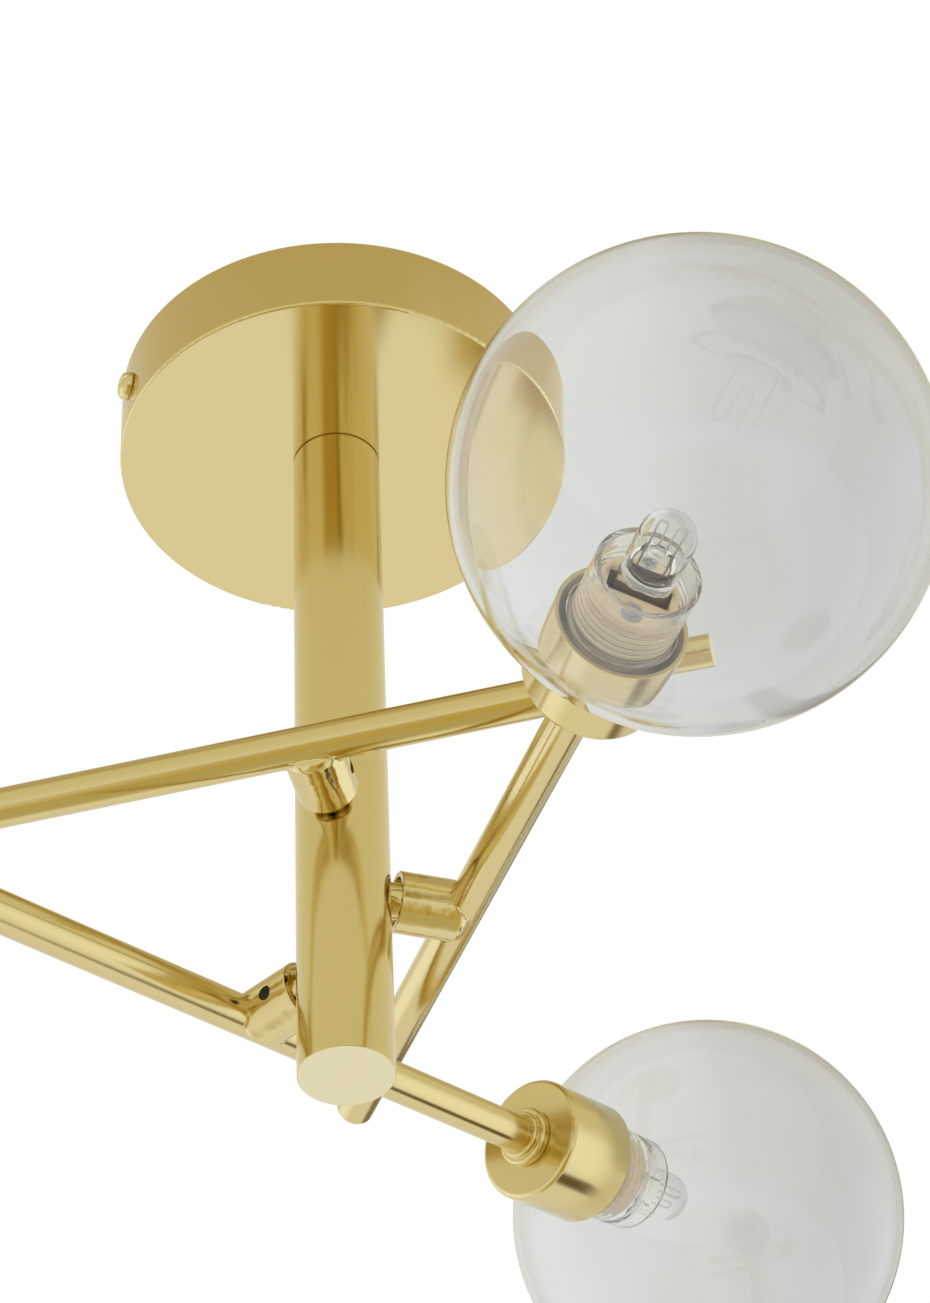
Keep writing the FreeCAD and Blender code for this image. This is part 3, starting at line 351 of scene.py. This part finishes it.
def grain_group():
    """Fine lines round an axis: UV's u runs along the axis, and the place breaks the lines up."""
    group = bpy.data.node_groups.new("turned grain", "ShaderNodeTree")
    for name, start in (("Lines per metre", 9000.0), ("Breaks per metre", 55.0)):
        socket = group.interface.new_socket(name, in_out="INPUT", socket_type="NodeSocketFloat")
        socket.default_value = start
    group.interface.new_socket("Grain", in_out="OUTPUT", socket_type="NodeSocketFloat")
    group.interface.new_socket("Cloud", in_out="OUTPUT", socket_type="NodeSocketFloat")
    inside = add(group, "NodeGroupInput")
    outside = add(group, "NodeGroupOutput")
    where = add(group, "ShaderNodeTexCoord")
    split = add(group, "ShaderNodeSeparateXYZ")
    join(group, where.outputs["UV"], split.inputs[0])
    across = combined(group, split.outputs["X"], inside.outputs["Lines per metre"])
    lines = add(group, "ShaderNodeTexNoise", noise_dimensions="4D", Detail=2.0, Roughness=0.6)
    join(group, where.outputs["Object"], lines.inputs["Vector"])
    join(group, inside.outputs["Breaks per metre"], lines.inputs["Scale"])
    join(group, across, lines.inputs["W"])
    join(group, lines.outputs["Fac"], outside.inputs["Grain"])
    cloud = add(group, "ShaderNodeTexNoise", Scale=28.0, Detail=3.0, Roughness=0.55)
    join(group, where.outputs["Object"], cloud.inputs["Vector"])
    join(group, cloud.outputs["Fac"], outside.inputs["Cloud"])
    return group


turned_grain = grain_group()


def brass(name, color, deep_color, roughness, lines, depth, stretch=0.6, lacquer=0.6):
    """Brass with a turned grain: the grain shades the colour, the gloss and the surface."""
    made, surface = material(name, color, roughness, 1.0)
    grain = add(made, "ShaderNodeGroup", node_tree=turned_grain)
    grain.inputs["Lines per metre"].default_value = lines
    shade = blended(made, mapped(made, grain.outputs["Grain"], 0.3, 0.62, 0, 1), deep_color, color)
    join(made, shade, surface.inputs["Base Color"])
    gloss = mapped(made, grain.outputs["Cloud"], 0, 1, roughness * 0.8, roughness * 1.25)
    join(made, gloss, surface.inputs["Roughness"])
    relief = add(made, "ShaderNodeBump", Strength=0.35, Distance=depth)
    join(made, grain.outputs["Grain"], relief.inputs["Height"])
    join(made, relief.outputs["Normal"], surface.inputs["Normal"])
    surface.inputs["Anisotropic"].default_value = stretch
    along = add(made, "ShaderNodeTangent", direction_type="UV_MAP", uv_map="UVMap")
    join(made, along.outputs["Tangent"], surface.inputs["Tangent"])
    surface.inputs["Coat Weight"].default_value = lacquer
    surface.inputs["Coat Roughness"].default_value = 0.08
    return made


def cloudy(made, surface, size, dark, light, start=0.0, end=1.0, detail=3.0):
    """Colours a surface with a fine cloudy pattern that stays on the piece; gives its value."""
    where = add(made, "ShaderNodeTexCoord")
    cloud = add(made, "ShaderNodeTexNoise", Scale=size, Detail=detail)
    join(made, where.outputs["Object"], cloud.inputs["Vector"])
    shade = ramped(made, cloud.outputs["Fac"], ((start, dark), (end, light)))
    join(made, shade, surface.inputs["Base Color"])
    return cloud.outputs["Fac"]


def metal(name, color, roughness, size):
    """A plain metal with a cloudy surface, for the fixings."""
    made, surface = material(name, color, roughness, 1.0)
    dark = tuple(part * 0.82 for part in color)
    cloud = cloudy(made, surface, size, dark, color, 0.35, 0.65, 4.0)
    gloss = mapped(made, cloud, 0, 1, roughness * 0.75, roughness * 1.3, "LINEAR")
    join(made, gloss, surface.inputs["Roughness"])
    return made


# The canopy's face is spun bright; its wall is painted a deeper brass, a painted reflection of the
# shaded ceiling close above it.
WALL_PAINTED_SHADE = (0.66, 0.51, 0.19)
spun_brass = brass("spun brass", (0.74, 0.605, 0.26), (0.71, 0.57, 0.23), 0.07, 7000, 8e-6, 0.4)
surface = spun_brass.node_tree.nodes["Principled BSDF"]
where = add(spun_brass, "ShaderNodeTexCoord")
split = add(spun_brass, "ShaderNodeSeparateXYZ")
join(spun_brass, where.outputs["Object"], split.inputs[0])
wall_foot = (CANOPY_FACE + 0.3) * MM
on_wall = mapped(spun_brass, split.outputs["Z"], wall_foot, wall_foot + 1.0 * MM, 0, 1)
face_color = surface.inputs["Base Color"].links[0].from_socket
join(spun_brass, blended(spun_brass, on_wall, face_color, WALL_PAINTED_SHADE),
     surface.inputs["Base Color"])

polished_brass = brass("polished brass", (0.75, 0.61, 0.26), (0.70, 0.555, 0.225), 0.07, 5000,
                       6e-6, 0.2)
zinc = metal("zinc plate", (0.60, 0.61, 0.62), 0.28, 900.0)
nylon, surface = material("terminal block nylon", (0.78, 0.78, 0.75), 0.45)
cloudy(nylon, surface, 4000.0, (0.70, 0.70, 0.67), (0.82, 0.82, 0.80))

from_solid("ceiling_bracket", upright, ROOT, zinc)
from_solid("terminal_block", upright, ROOT, nylon)
from_solid("terminal_screws", upright, ROOT, zinc)
from_solid("earth_screw", upright, ROOT, zinc)
canopy = from_solid("canopy", upright, ROOT, spun_brass)
bare_brass = metal("bare brass", (0.46, 0.37, 0.17), 0.38, 60.0)
second_finish(canopy, bare_brass, upright, lambda station, radius, lean:
              lean > 0.5 or radius < CANOPY_INSIDE and station > CANOPY_FACE + 0.3)
from_solid("canopy_nut", upright, ROOT, zinc)
from_solid("canopy_washer", upright, ROOT, zinc)
for side, turn in (("left", 180), ("right", 0)):
    sideways = (Matrix.Translation((0, 0, SIDE_SCREW_HEIGHT * MM))
                @ Matrix.Rotation(math.radians(turn), 4, "Z"))
    name = "canopy_screw_" + side
    from_solid(name, sideways, name, polished_brass)

# ------------------------------------------------------------------ stem
# A straight brass tube on a hollow threaded rod, with a fine groove where it meets the canopy.  A
# flat cap with a fine chamfer and a plug that fits the bore closes it below.  Stations run up the
# stem from the ceiling, so they are negative, and radii are from its axis.

STEM_RADIUS = 12.5
STEM_BORE = 11.0
STEM_FOOT = -244.5
GROOVE_WIDTH = 0.45
GROOVE_DEPTH = 0.4
CAP_THICKNESS = 2.0
CAP_PLUG = 6.0
PLUG_PLAY = 0.03


def turned(profile, steps=96):
    """Spins (station, radius, rounding) corners about X, as a closed ring or out to the axis."""
    mesh = bmesh.new()
    corners = [mesh.verts.new((station * MM, radius * MM, 0))
               for station, radius, rounding in profile]
    for one, other in zip(corners, corners[1:]):
        mesh.edges.new((one, other))
    if profile[0][1] > 0 and profile[-1][1] > 0:
        mesh.edges.new((corners[-1], corners[0]))
    for corner, (station, radius, rounding) in zip(corners, profile):
        if rounding:
            bmesh.ops.bevel(mesh, geom=[corner], offset=rounding * MM, offset_type="OFFSET",
                            affect="VERTICES", segments=5, profile=0.5, material=-1)
    outline = mesh.verts[:] + mesh.edges[:]
    bmesh.ops.spin(mesh, geom=outline, cent=(0, 0, 0), axis=(1, 0, 0), angle=math.tau,
                   steps=steps, use_merge=True)
    bmesh.ops.remove_doubles(mesh, verts=mesh.verts, dist=1e-7)
    bmesh.ops.recalc_face_normals(mesh, faces=mesh.faces)
    return mesh


satin_brass = brass("satin brass", (0.735, 0.60, 0.25), (0.69, 0.545, 0.215), 0.14, 9000, 12e-6)
groove_top = CANOPY_FACE
groove_foot = CANOPY_FACE - GROOVE_WIDTH
groove_radius = STEM_RADIUS - GROOVE_DEPTH
tube = turned([(STEM_FOOT, STEM_RADIUS, 0), (groove_foot, STEM_RADIUS, 0.1),
               (groove_foot, groove_radius, 0), (groove_top, groove_radius, 0),
               (groove_top, STEM_BORE, 0), (STEM_FOOT, STEM_BORE, 0)], 128)
finished("stem_tube_form", tube, upright, ROOT, satin_brass, ["stem_tube"])

cap_face = STEM_FOOT - CAP_THICKNESS
plug_end = STEM_FOOT + CAP_PLUG
plug_radius = STEM_BORE - PLUG_PLAY
cap = turned([(cap_face, 0, 0), (cap_face, STEM_RADIUS, 0.2), (STEM_FOOT, STEM_RADIUS, 0),
              (STEM_FOOT, plug_radius, 0), (plug_end, plug_radius, 0.4), (plug_end, 0, 0)], 128)
cap = finished("stem_cap_form", cap, upright, ROOT, satin_brass, ["stem_end_cap"])
pale_brass = brass("pale brass", (0.82, 0.74, 0.44), (0.80, 0.71, 0.40), 0.16, 5000, 10e-6, 0.3)
second_finish(cap, pale_brass, upright, lambda station, radius, lean: lean < -0.99)
from_solid("stem_top_bush", upright, ROOT, polished_brass)
from_solid("stem_nipple", upright, ROOT, zinc)
from_solid("stub_nuts", upright, ROOT, zinc)

# ------------------------------------------------------------------ stubs, collars and arms
# Each arm is brazed across the round end of a collar, which turns on a stub of the stem and is
# locked by a grub screw; a plug closes the plain end and a stepped ring carries the cup.  Stations
# run along the arm from its collar, towards the lamp.

ARMS = (1, 2, 3)
TILT = {1: -1.3, 2: -6.9, 3: 8.6}
TOP_ARM_DROP = 137.3
ARM_SPACING = 24.2
ARM_FROM_STEM = 32.4
MIDDLE_ARM_TURN = -93
ARM_RADIUS = 5.3
ARM_BORE = 4.2
ARM_TAIL = -105.6
ARM_HEAD = 105.0
TAIL_THICKNESS = 1.4
RING_FRONT = 102.3
RING_STEP = 103.8
CUP_BACK = 106.8
RING_END = 111.8
RING_RADIUS = 6.6
FLANGE_RADIUS = 8.3
SPIGOT_RADIUS = 5.0
WIRE_BORE = 3.5
BRAZE_RADIUS = 8.22
BRAZE_ROOT = -5.0
BRAZE_NOSE = 0.3
BRAZE_REACH = 13.0


def stub_frame(arm):
    """X towards the lamp, Y away from the stem, before the arm is tilted."""
    turn = Matrix.Rotation(math.radians(MIDDLE_ARM_TURN + 120 * (arm - 2)), 4, "Z")
    level = CANOPY_FACE - TOP_ARM_DROP - (arm - 1) * ARM_SPACING
    return (Matrix.Translation((0, 0, level * MM)) @ turn
            @ Matrix.Translation((0, ARM_FROM_STEM * MM, 0)))


def arm_frame(arm):
    """X along the tilted arm, towards its lamp."""
    return stub_frame(arm) @ Matrix.Rotation(math.radians(-TILT[arm]), 4, "Y")


# The filed pieces have soft, shallow dents as well as the grain.
filed_brass = brass("filed brass", (0.75, 0.61, 0.26), (0.70, 0.555, 0.225), 0.10, 3000, 6e-6, 0.2)
surface = filed_brass.node_tree.nodes["Principled BSDF"]
where = add(filed_brass, "ShaderNodeTexCoord")
dents = add(filed_brass, "ShaderNodeTexNoise", Scale=260.0, Detail=1.0)
join(filed_brass, where.outputs["Object"], dents.inputs["Vector"])
relief = add(filed_brass, "ShaderNodeBump", Strength=0.5, Distance=0.0004)
join(filed_brass, dents.outputs["Fac"], relief.inputs["Height"])
join(filed_brass, surface.inputs["Normal"].links[0].from_socket, relief.inputs["Normal"])
join(filed_brass, relief.outputs["Normal"], surface.inputs["Normal"])


def joined(mesh, other):
    """Adds a second mesh to the first one and lets it go."""
    data = bpy.data.meshes.new("joined")
    other.to_mesh(data)
    other.free()
    mesh.from_mesh(data)
    bpy.data.meshes.remove(data)


def braze():
    """The filed braze between a collar and its arm: both shapes melted together and smoothed."""
    core = turned([(BRAZE_ROOT, 0, 0), (BRAZE_ROOT, BRAZE_RADIUS, 0.5),
                   (BRAZE_NOSE, BRAZE_RADIUS, 2.6), (BRAZE_NOSE, 0, 0)], 64)
    bmesh.ops.transform(core, matrix=about_stub, verts=core.verts)
    joined(core, turned([(-BRAZE_REACH, 0, 0), (-BRAZE_REACH, ARM_RADIUS, 0),
                         (BRAZE_REACH, ARM_RADIUS, 0), (BRAZE_REACH, 0, 0)], 48))
    data = bpy.data.meshes.new("braze")
    core.to_mesh(data)
    core.free()
    blank = bpy.data.objects.new("braze", data)
    bpy.context.collection.objects.link(blank)
    melt = blank.modifiers.new("melt", "REMESH")
    melt.mode = "VOXEL"
    melt.voxel_size = 0.35 * MM
    flow = blank.modifiers.new("flow", "SMOOTH")
    flow.factor = 0.5
    flow.iterations = 30
    now = bpy.context.evaluated_depsgraph_get()
    shaped = bpy.data.meshes.new_from_object(blank.evaluated_get(now))
    made = bmesh.new()
    made.from_mesh(shaped)
    bpy.data.objects.remove(blank)
    bpy.data.meshes.remove(data)
    bpy.data.meshes.remove(shaped)
    return made


# The grub screws are blackened steel; their near-black colour also paints the shade of the deeper
# hole they sit in.
blackened_steel_and_shade = metal("blackened steel and painted shade", (0.05, 0.048, 0.045), 0.35, 900.0)
about_stub = Matrix.Rotation(math.radians(90), 4, "Z")
tail_face = ARM_TAIL - TAIL_THICKNESS
plug_end = ARM_TAIL + CAP_PLUG
plug_radius = ARM_BORE - PLUG_PLAY
ring_seat = ARM_RADIUS + PLUG_PLAY
for arm in ARMS:
    body = "arm_%d" % arm
    here = arm_frame(arm)
    from_solid("arm_stub_%d" % arm, stub_frame(arm) @ about_stub, ROOT,
               polished_brass)
    from_solid("arm_collar_%d" % arm, here @ about_stub, body, filed_brass)
    finished("braze_%d" % arm, braze(), here, body, filed_brass, [], 80)
    from_solid("grub_screw_%d" % arm, here @ about_stub, body, blackened_steel_and_shade)
    tube = turned([(ARM_TAIL, ARM_RADIUS, 0), (ARM_HEAD, ARM_RADIUS, 0),
                   (ARM_HEAD, ARM_BORE, 0), (ARM_TAIL, ARM_BORE, 0)], 64)
    finished("arm_tube_form_%d" % arm, tube, here, body, satin_brass,
             ["arm_tube_%d" % arm])
    plug = turned([(tail_face, 0, 0), (tail_face, ARM_RADIUS, 0.4), (ARM_TAIL, ARM_RADIUS, 0),
                   (ARM_TAIL, plug_radius, 0), (plug_end, plug_radius, 0), (plug_end, 0, 0)], 64)
    finished("arm_plug_form_%d" % arm, plug, here, body, satin_brass,
             ["arm_end_plug_%d" % arm])
    ring = turned([(RING_FRONT, ring_seat, 0), (RING_FRONT, RING_RADIUS, 0.6),
                   (RING_STEP, RING_RADIUS, 0.15), (RING_STEP, FLANGE_RADIUS, 0.9),
                   (CUP_BACK, FLANGE_RADIUS, 0.9), (CUP_BACK, SPIGOT_RADIUS, 0),
                   (RING_END, SPIGOT_RADIUS, 0), (RING_END, WIRE_BORE, 0),
                   (ARM_HEAD, WIRE_BORE, 0), (ARM_HEAD, ring_seat, 0)], 64)
    finished("cup_ring_form_%d" % arm, ring, here, body, polished_brass,
             ["cup_ring_%d" % arm])

# ------------------------------------------------------------------ lamp cup
# A drawn brass cup with a rounded back edge, clamped between the ring and the threaded sleeve.
# Its inside is left as drawn and dull; its darker colour is painted shade for the deep gap round
# the sleeve.

CUP_RADIUS = 17.3
CUP_WALL = 1.2
CUP_MOUTH = 130.8
CUP_BORE = 5.06
CUP_FLOOR = CUP_BACK + CUP_WALL
CUP_INSIDE = CUP_RADIUS - CUP_WALL

# The cup's inside: dull drawn brass, with painted shade darkening its colour.
raw_brass_and_shade = brass("raw brass and painted shade", (0.60, 0.50, 0.27), (0.44, 0.36, 0.18), 0.36, 3000, 30e-6, 0.2, 0.0)
raw_brass_and_shade.node_tree.nodes["Principled BSDF"].inputs["Metallic"].default_value = 0.1
for arm in ARMS:
    here = arm_frame(arm)
    cup = turned([(CUP_BACK, CUP_BORE, 0), (CUP_BACK, CUP_RADIUS, 1.6),
                  (CUP_MOUTH, CUP_RADIUS, 0.25), (CUP_MOUTH, CUP_INSIDE, 0.25),
                  (CUP_FLOOR, CUP_INSIDE, 0.7), (CUP_FLOOR, CUP_BORE, 0)], 96)
    cup = finished("lamp_cup_form_%d" % arm, cup, here, "arm_%d" % arm,
                   satin_brass, ["lamp_cup_%d" % arm])
    second_finish(cup, raw_brass_and_shade, here, lambda station, radius, lean:
                  station > CUP_FLOOR - 0.5 and radius < CUP_INSIDE + 0.5)

# ------------------------------------------------------------------ lampholder
# A matt tan steatite G9 lampholder, screwed to a shelf in a sleeve of the same colour.  The sleeve
# clamps the cup to the ring and carries the coarse thread for the globe's neck.  The holder's
# sockets are dark, because hardly any light gets into them.

SLEEVE_RADIUS = 10.9
SLEEVE_BORE = 10.3
SLEEVE_END = 141.0
SLEEVE_FLOOR = 111.0
SLEEVE_SEAT = 5.03
SHELF_BACK = 123.5
SHELF_FRONT = 125.0
SHELF_BORE = 5.3
THREAD_PITCH = 2.2
SLEEVE_THREAD = 0.5
LAMP_TURN = 165
SOCKET_DEPTH = 144.6
SOCKET_RADIUS = 9.6


def steatite(name, dark, light):
    """Matt fired clay with a fine mottle."""
    made, surface = material(name, (0.58, 0.46, 0.28), 0.55)
    cloudy(made, surface, 1200.0, dark, light)
    return made


bronze = metal("spring bronze", (0.66, 0.44, 0.25), 0.3, 700.0)
tan = steatite("tan steatite", (0.52, 0.40, 0.23), (0.62, 0.50, 0.31))
shaded_tan = steatite("steatite in shade", (0.10, 0.065, 0.03), (0.14, 0.095, 0.05))


def threaded(mesh, start, end, low, high, tall):
    """Raises a helical ridge on the rings of a turned mesh between two stations and radii."""
    for vert in mesh.verts:
        station = vert.co.x / MM
        radius = math.hypot(vert.co.y, vert.co.z) / MM
        if start < station < end and low < radius < high:
            phase = station / THREAD_PITCH - math.atan2(vert.co.z, vert.co.y) / math.tau
            fade = min(1.0, (station - start) / THREAD_PITCH, (end - station) / THREAD_PITCH)
            swell = tall * fade * (0.5 + 0.5 * math.cos(math.tau * phase))
            scale = (radius + swell) / radius
            vert.co.y *= scale
            vert.co.z *= scale


def run(start, end, radius, count):
    """Evenly spaced corners along a straight wall, which a thread or a pinch will bend."""
    return [(start + (end - start) * i / count, radius, 0) for i in range(count + 1)]


def lamp_frame(arm):
    """X along the arm, with the lampholder's flat sides turned as its bulb sits."""
    return arm_frame(arm) @ Matrix.Rotation(math.radians(LAMP_TURN), 4, "X")


for arm in ARMS:
    body = "arm_%d" % arm
    lamp = lamp_frame(arm)
    sleeve = turned([(CUP_FLOOR, SLEEVE_SEAT, 0), (CUP_FLOOR, SLEEVE_RADIUS, 0)]
                    + run(CUP_FLOOR + 1.0, SLEEVE_END - 0.5, SLEEVE_RADIUS, 84)
                    + [(SLEEVE_END, SLEEVE_RADIUS, 0), (SLEEVE_END, SLEEVE_BORE, 0),
                       (SHELF_FRONT, SLEEVE_BORE, 0), (SHELF_FRONT, SHELF_BORE, 0),
                       (SHELF_BACK, SHELF_BORE, 0), (SHELF_BACK, SLEEVE_BORE, 0),
                       (SLEEVE_FLOOR, SLEEVE_BORE, 0), (SLEEVE_FLOOR, SLEEVE_SEAT, 0)], 72)
    threaded(sleeve, CUP_FLOOR + 2.0, SLEEVE_END - 0.4, SLEEVE_RADIUS - 0.1, SLEEVE_RADIUS + 0.1,
             SLEEVE_THREAD)
    finished("sleeve_form_%d" % arm, sleeve, arm_frame(arm), body, tan,
             ["thread_sleeve_%d" % arm])
    holder = from_solid("lampholder_%d" % arm, lamp, body, tan)
    second_finish(holder, shaded_tan, lamp, lambda station, radius, lean:
                  station < SOCKET_DEPTH and radius < SOCKET_RADIUS)
    from_solid("holder_screws_%d" % arm, lamp, body, zinc)
    from_solid("holder_contacts_%d" % arm, lamp, body, bronze)

# ------------------------------------------------------------------ bulb
# A clear quartz G9 capsule: a round-tipped tube with a hollow for the filament, flattened below
# into the solid pinch that holds the pins.  The wires, pins and filament keep their CAD shape.

CAPSULE_RADIUS = 7.0
CAPSULE_HOLLOW = 6.0
TIP_CENTRE = 165.5
PINCH_FOOT = 133.2
PINCH_RADIUS = 6.8
PINCH_HALF = 2.2
PINCH_TOP = 148.5
PINCH_BLEND = 4.0
HOLLOW_FOOT = 153.0


def glass(name, tint, index, ripple, size):
    """Clear glass with a slight ripple in its surface."""
    made, surface = material(name, tint, 0.0)
    surface.inputs["Transmission Weight"].default_value = 1.0
    surface.inputs["IOR"].default_value = index
    where = add(made, "ShaderNodeTexCoord")
    wave = add(made, "ShaderNodeTexNoise", Scale=size, Detail=1.5)
    join(made, where.outputs["Object"], wave.inputs["Vector"])
    relief = add(made, "ShaderNodeBump", Strength=0.3, Distance=ripple)
    join(made, wave.outputs["Fac"], relief.inputs["Height"])
    join(made, relief.outputs["Normal"], surface.inputs["Normal"])
    return made


def see_through(piece):
    """Clear glass lets the tent's soft light by, without a shadow."""
    piece.visible_shadow = False
    piece.visible_diffuse = False


def arc(centre, radius, start, end, count):
    """Corners along a circle in the profile plane; angles from the axis, in degrees."""
    corners = []
    for i in range(count + 1):
        angle = math.radians(start + (end - start) * i / count)
        corners.append((centre + radius * math.cos(angle), max(0.0, radius * math.sin(angle)), 0))
    return corners


def pinched(mesh):
    """Flattens the capsule's foot, with a smooth change to the round part above it."""
    for vert in mesh.verts:
        share = min(1.0, max(0.0, (vert.co.x / MM - PINCH_TOP) / PINCH_BLEND))
        rise = share * share * (3 - 2 * share)
        limit = (PINCH_HALF + (CAPSULE_RADIUS - PINCH_HALF) * rise) * MM
        if abs(vert.co.z) > limit:
            vert.co.z = math.copysign(limit, vert.co.z)
    bmesh.ops.recalc_face_normals(mesh, faces=mesh.faces)


wire_metal = metal("lamp wire", (0.78, 0.77, 0.75), 0.3, 1500.0)
quartz = glass("quartz", (0.985, 0.985, 0.98), 1.46, 0.0003, 160.0)
for arm in ARMS:
    body = "bulb_%d" % arm
    lamp = lamp_frame(arm)
    capsule = turned([(PINCH_FOOT, 0, 0), (PINCH_FOOT, PINCH_RADIUS, 0.5)]
                     + run(PINCH_FOOT + 2.8, PINCH_TOP + 0.5, PINCH_RADIUS, 10)
                     + run(PINCH_TOP + 2.0, TIP_CENTRE, CAPSULE_RADIUS, 14)
                     + arc(TIP_CENTRE, CAPSULE_RADIUS, 85, 0, 16), 64)
    pinched(capsule)
    hollow = turned([(HOLLOW_FOOT, 0, 0), (HOLLOW_FOOT + 0.4, CAPSULE_HOLLOW - 2.0, 0.5)]
                    + run(HOLLOW_FOOT + 2.5, TIP_CENTRE, CAPSULE_HOLLOW, 8)
                    + arc(TIP_CENTRE, CAPSULE_HOLLOW, 85, 0, 14), 64)
    bmesh.ops.reverse_faces(hollow, faces=hollow.faces)
    joined(capsule, hollow)
    see_through(finished("bulb_form_%d" % arm, capsule, lamp, body, quartz,
                         ["bulb_glass_%d" % arm], 40))
    from_solid("bulb_wires_%d" % arm, lamp, body, wire_metal, 40)

# ------------------------------------------------------------------ globe
# A blown clear globe with an even wall.  Its neck is turned inwards, is a little warmer and duller
# from the mould, and carries the coils that screw on the sleeve.

GLOBE_CENTRE = 185.8
GLOBE_RADIUS = 57.0
GLOBE_WALL = 1.8
NECK_RADIUS = 13.3
NECK_BORE = 11.7
NECK_MOUTH = 129.4
NECK_END = 152.0
NECK_ROOT = 133.4
THREAD_START = 131.0
THREAD_END = 147.0
COIL = 0.45
COIL_OUTSIDE = -0.3

globe_glass = glass("globe glass", (0.985, 0.99, 0.985), 1.48, 0.0006, 18.0)
neck_glass = glass("neck glass", (0.95, 0.94, 0.90), 1.48, 0.0004, 60.0)
surface = neck_glass.node_tree.nodes["Principled BSDF"]
surface.inputs["Transmission Weight"].default_value = 0.97
surface.inputs["Roughness"].default_value = 0.02

globe_inside = GLOBE_RADIUS - GLOBE_WALL
outer_gap = math.degrees(math.asin(NECK_RADIUS / GLOBE_RADIUS))
inner_gap = math.degrees(math.asin(NECK_RADIUS / globe_inside)) + 1.2
for arm in ARMS:
    here = arm_frame(arm)
    ball = turned(arc(GLOBE_CENTRE, GLOBE_RADIUS, 0, 180 - outer_gap, 110)
                  + [(NECK_MOUTH, NECK_RADIUS, 0.3), (NECK_MOUTH, NECK_BORE, 0.3)]
                  + run(NECK_MOUTH + 1.2, NECK_END - 0.4, NECK_BORE, 70)
                  + [(NECK_END, NECK_BORE + 0.05, 0.2), (NECK_END, NECK_RADIUS - 0.05, 0.2)]
                  + run(NECK_END - 0.4, NECK_ROOT, NECK_RADIUS, 60)
                  + arc(GLOBE_CENTRE, globe_inside, 180 - inner_gap, 0, 110), 128)
    threaded(ball, THREAD_START, THREAD_END, NECK_BORE - 0.1, NECK_BORE + 0.1, COIL)
    threaded(ball, THREAD_START + 3.0, THREAD_END, NECK_RADIUS - 0.1, NECK_RADIUS + 0.1,
             COIL_OUTSIDE)
    globe = finished("globe_form_%d" % arm, ball, here, "globe_%d" % arm,
                     globe_glass, ["globe_%d" % arm, "globe_neck_%d" % arm], 50)
    second_finish(globe, neck_glass, here, lambda station, radius, lean:
                  station < NECK_END + 1.0 and radius < NECK_RADIUS + 0.4)
    see_through(globe)
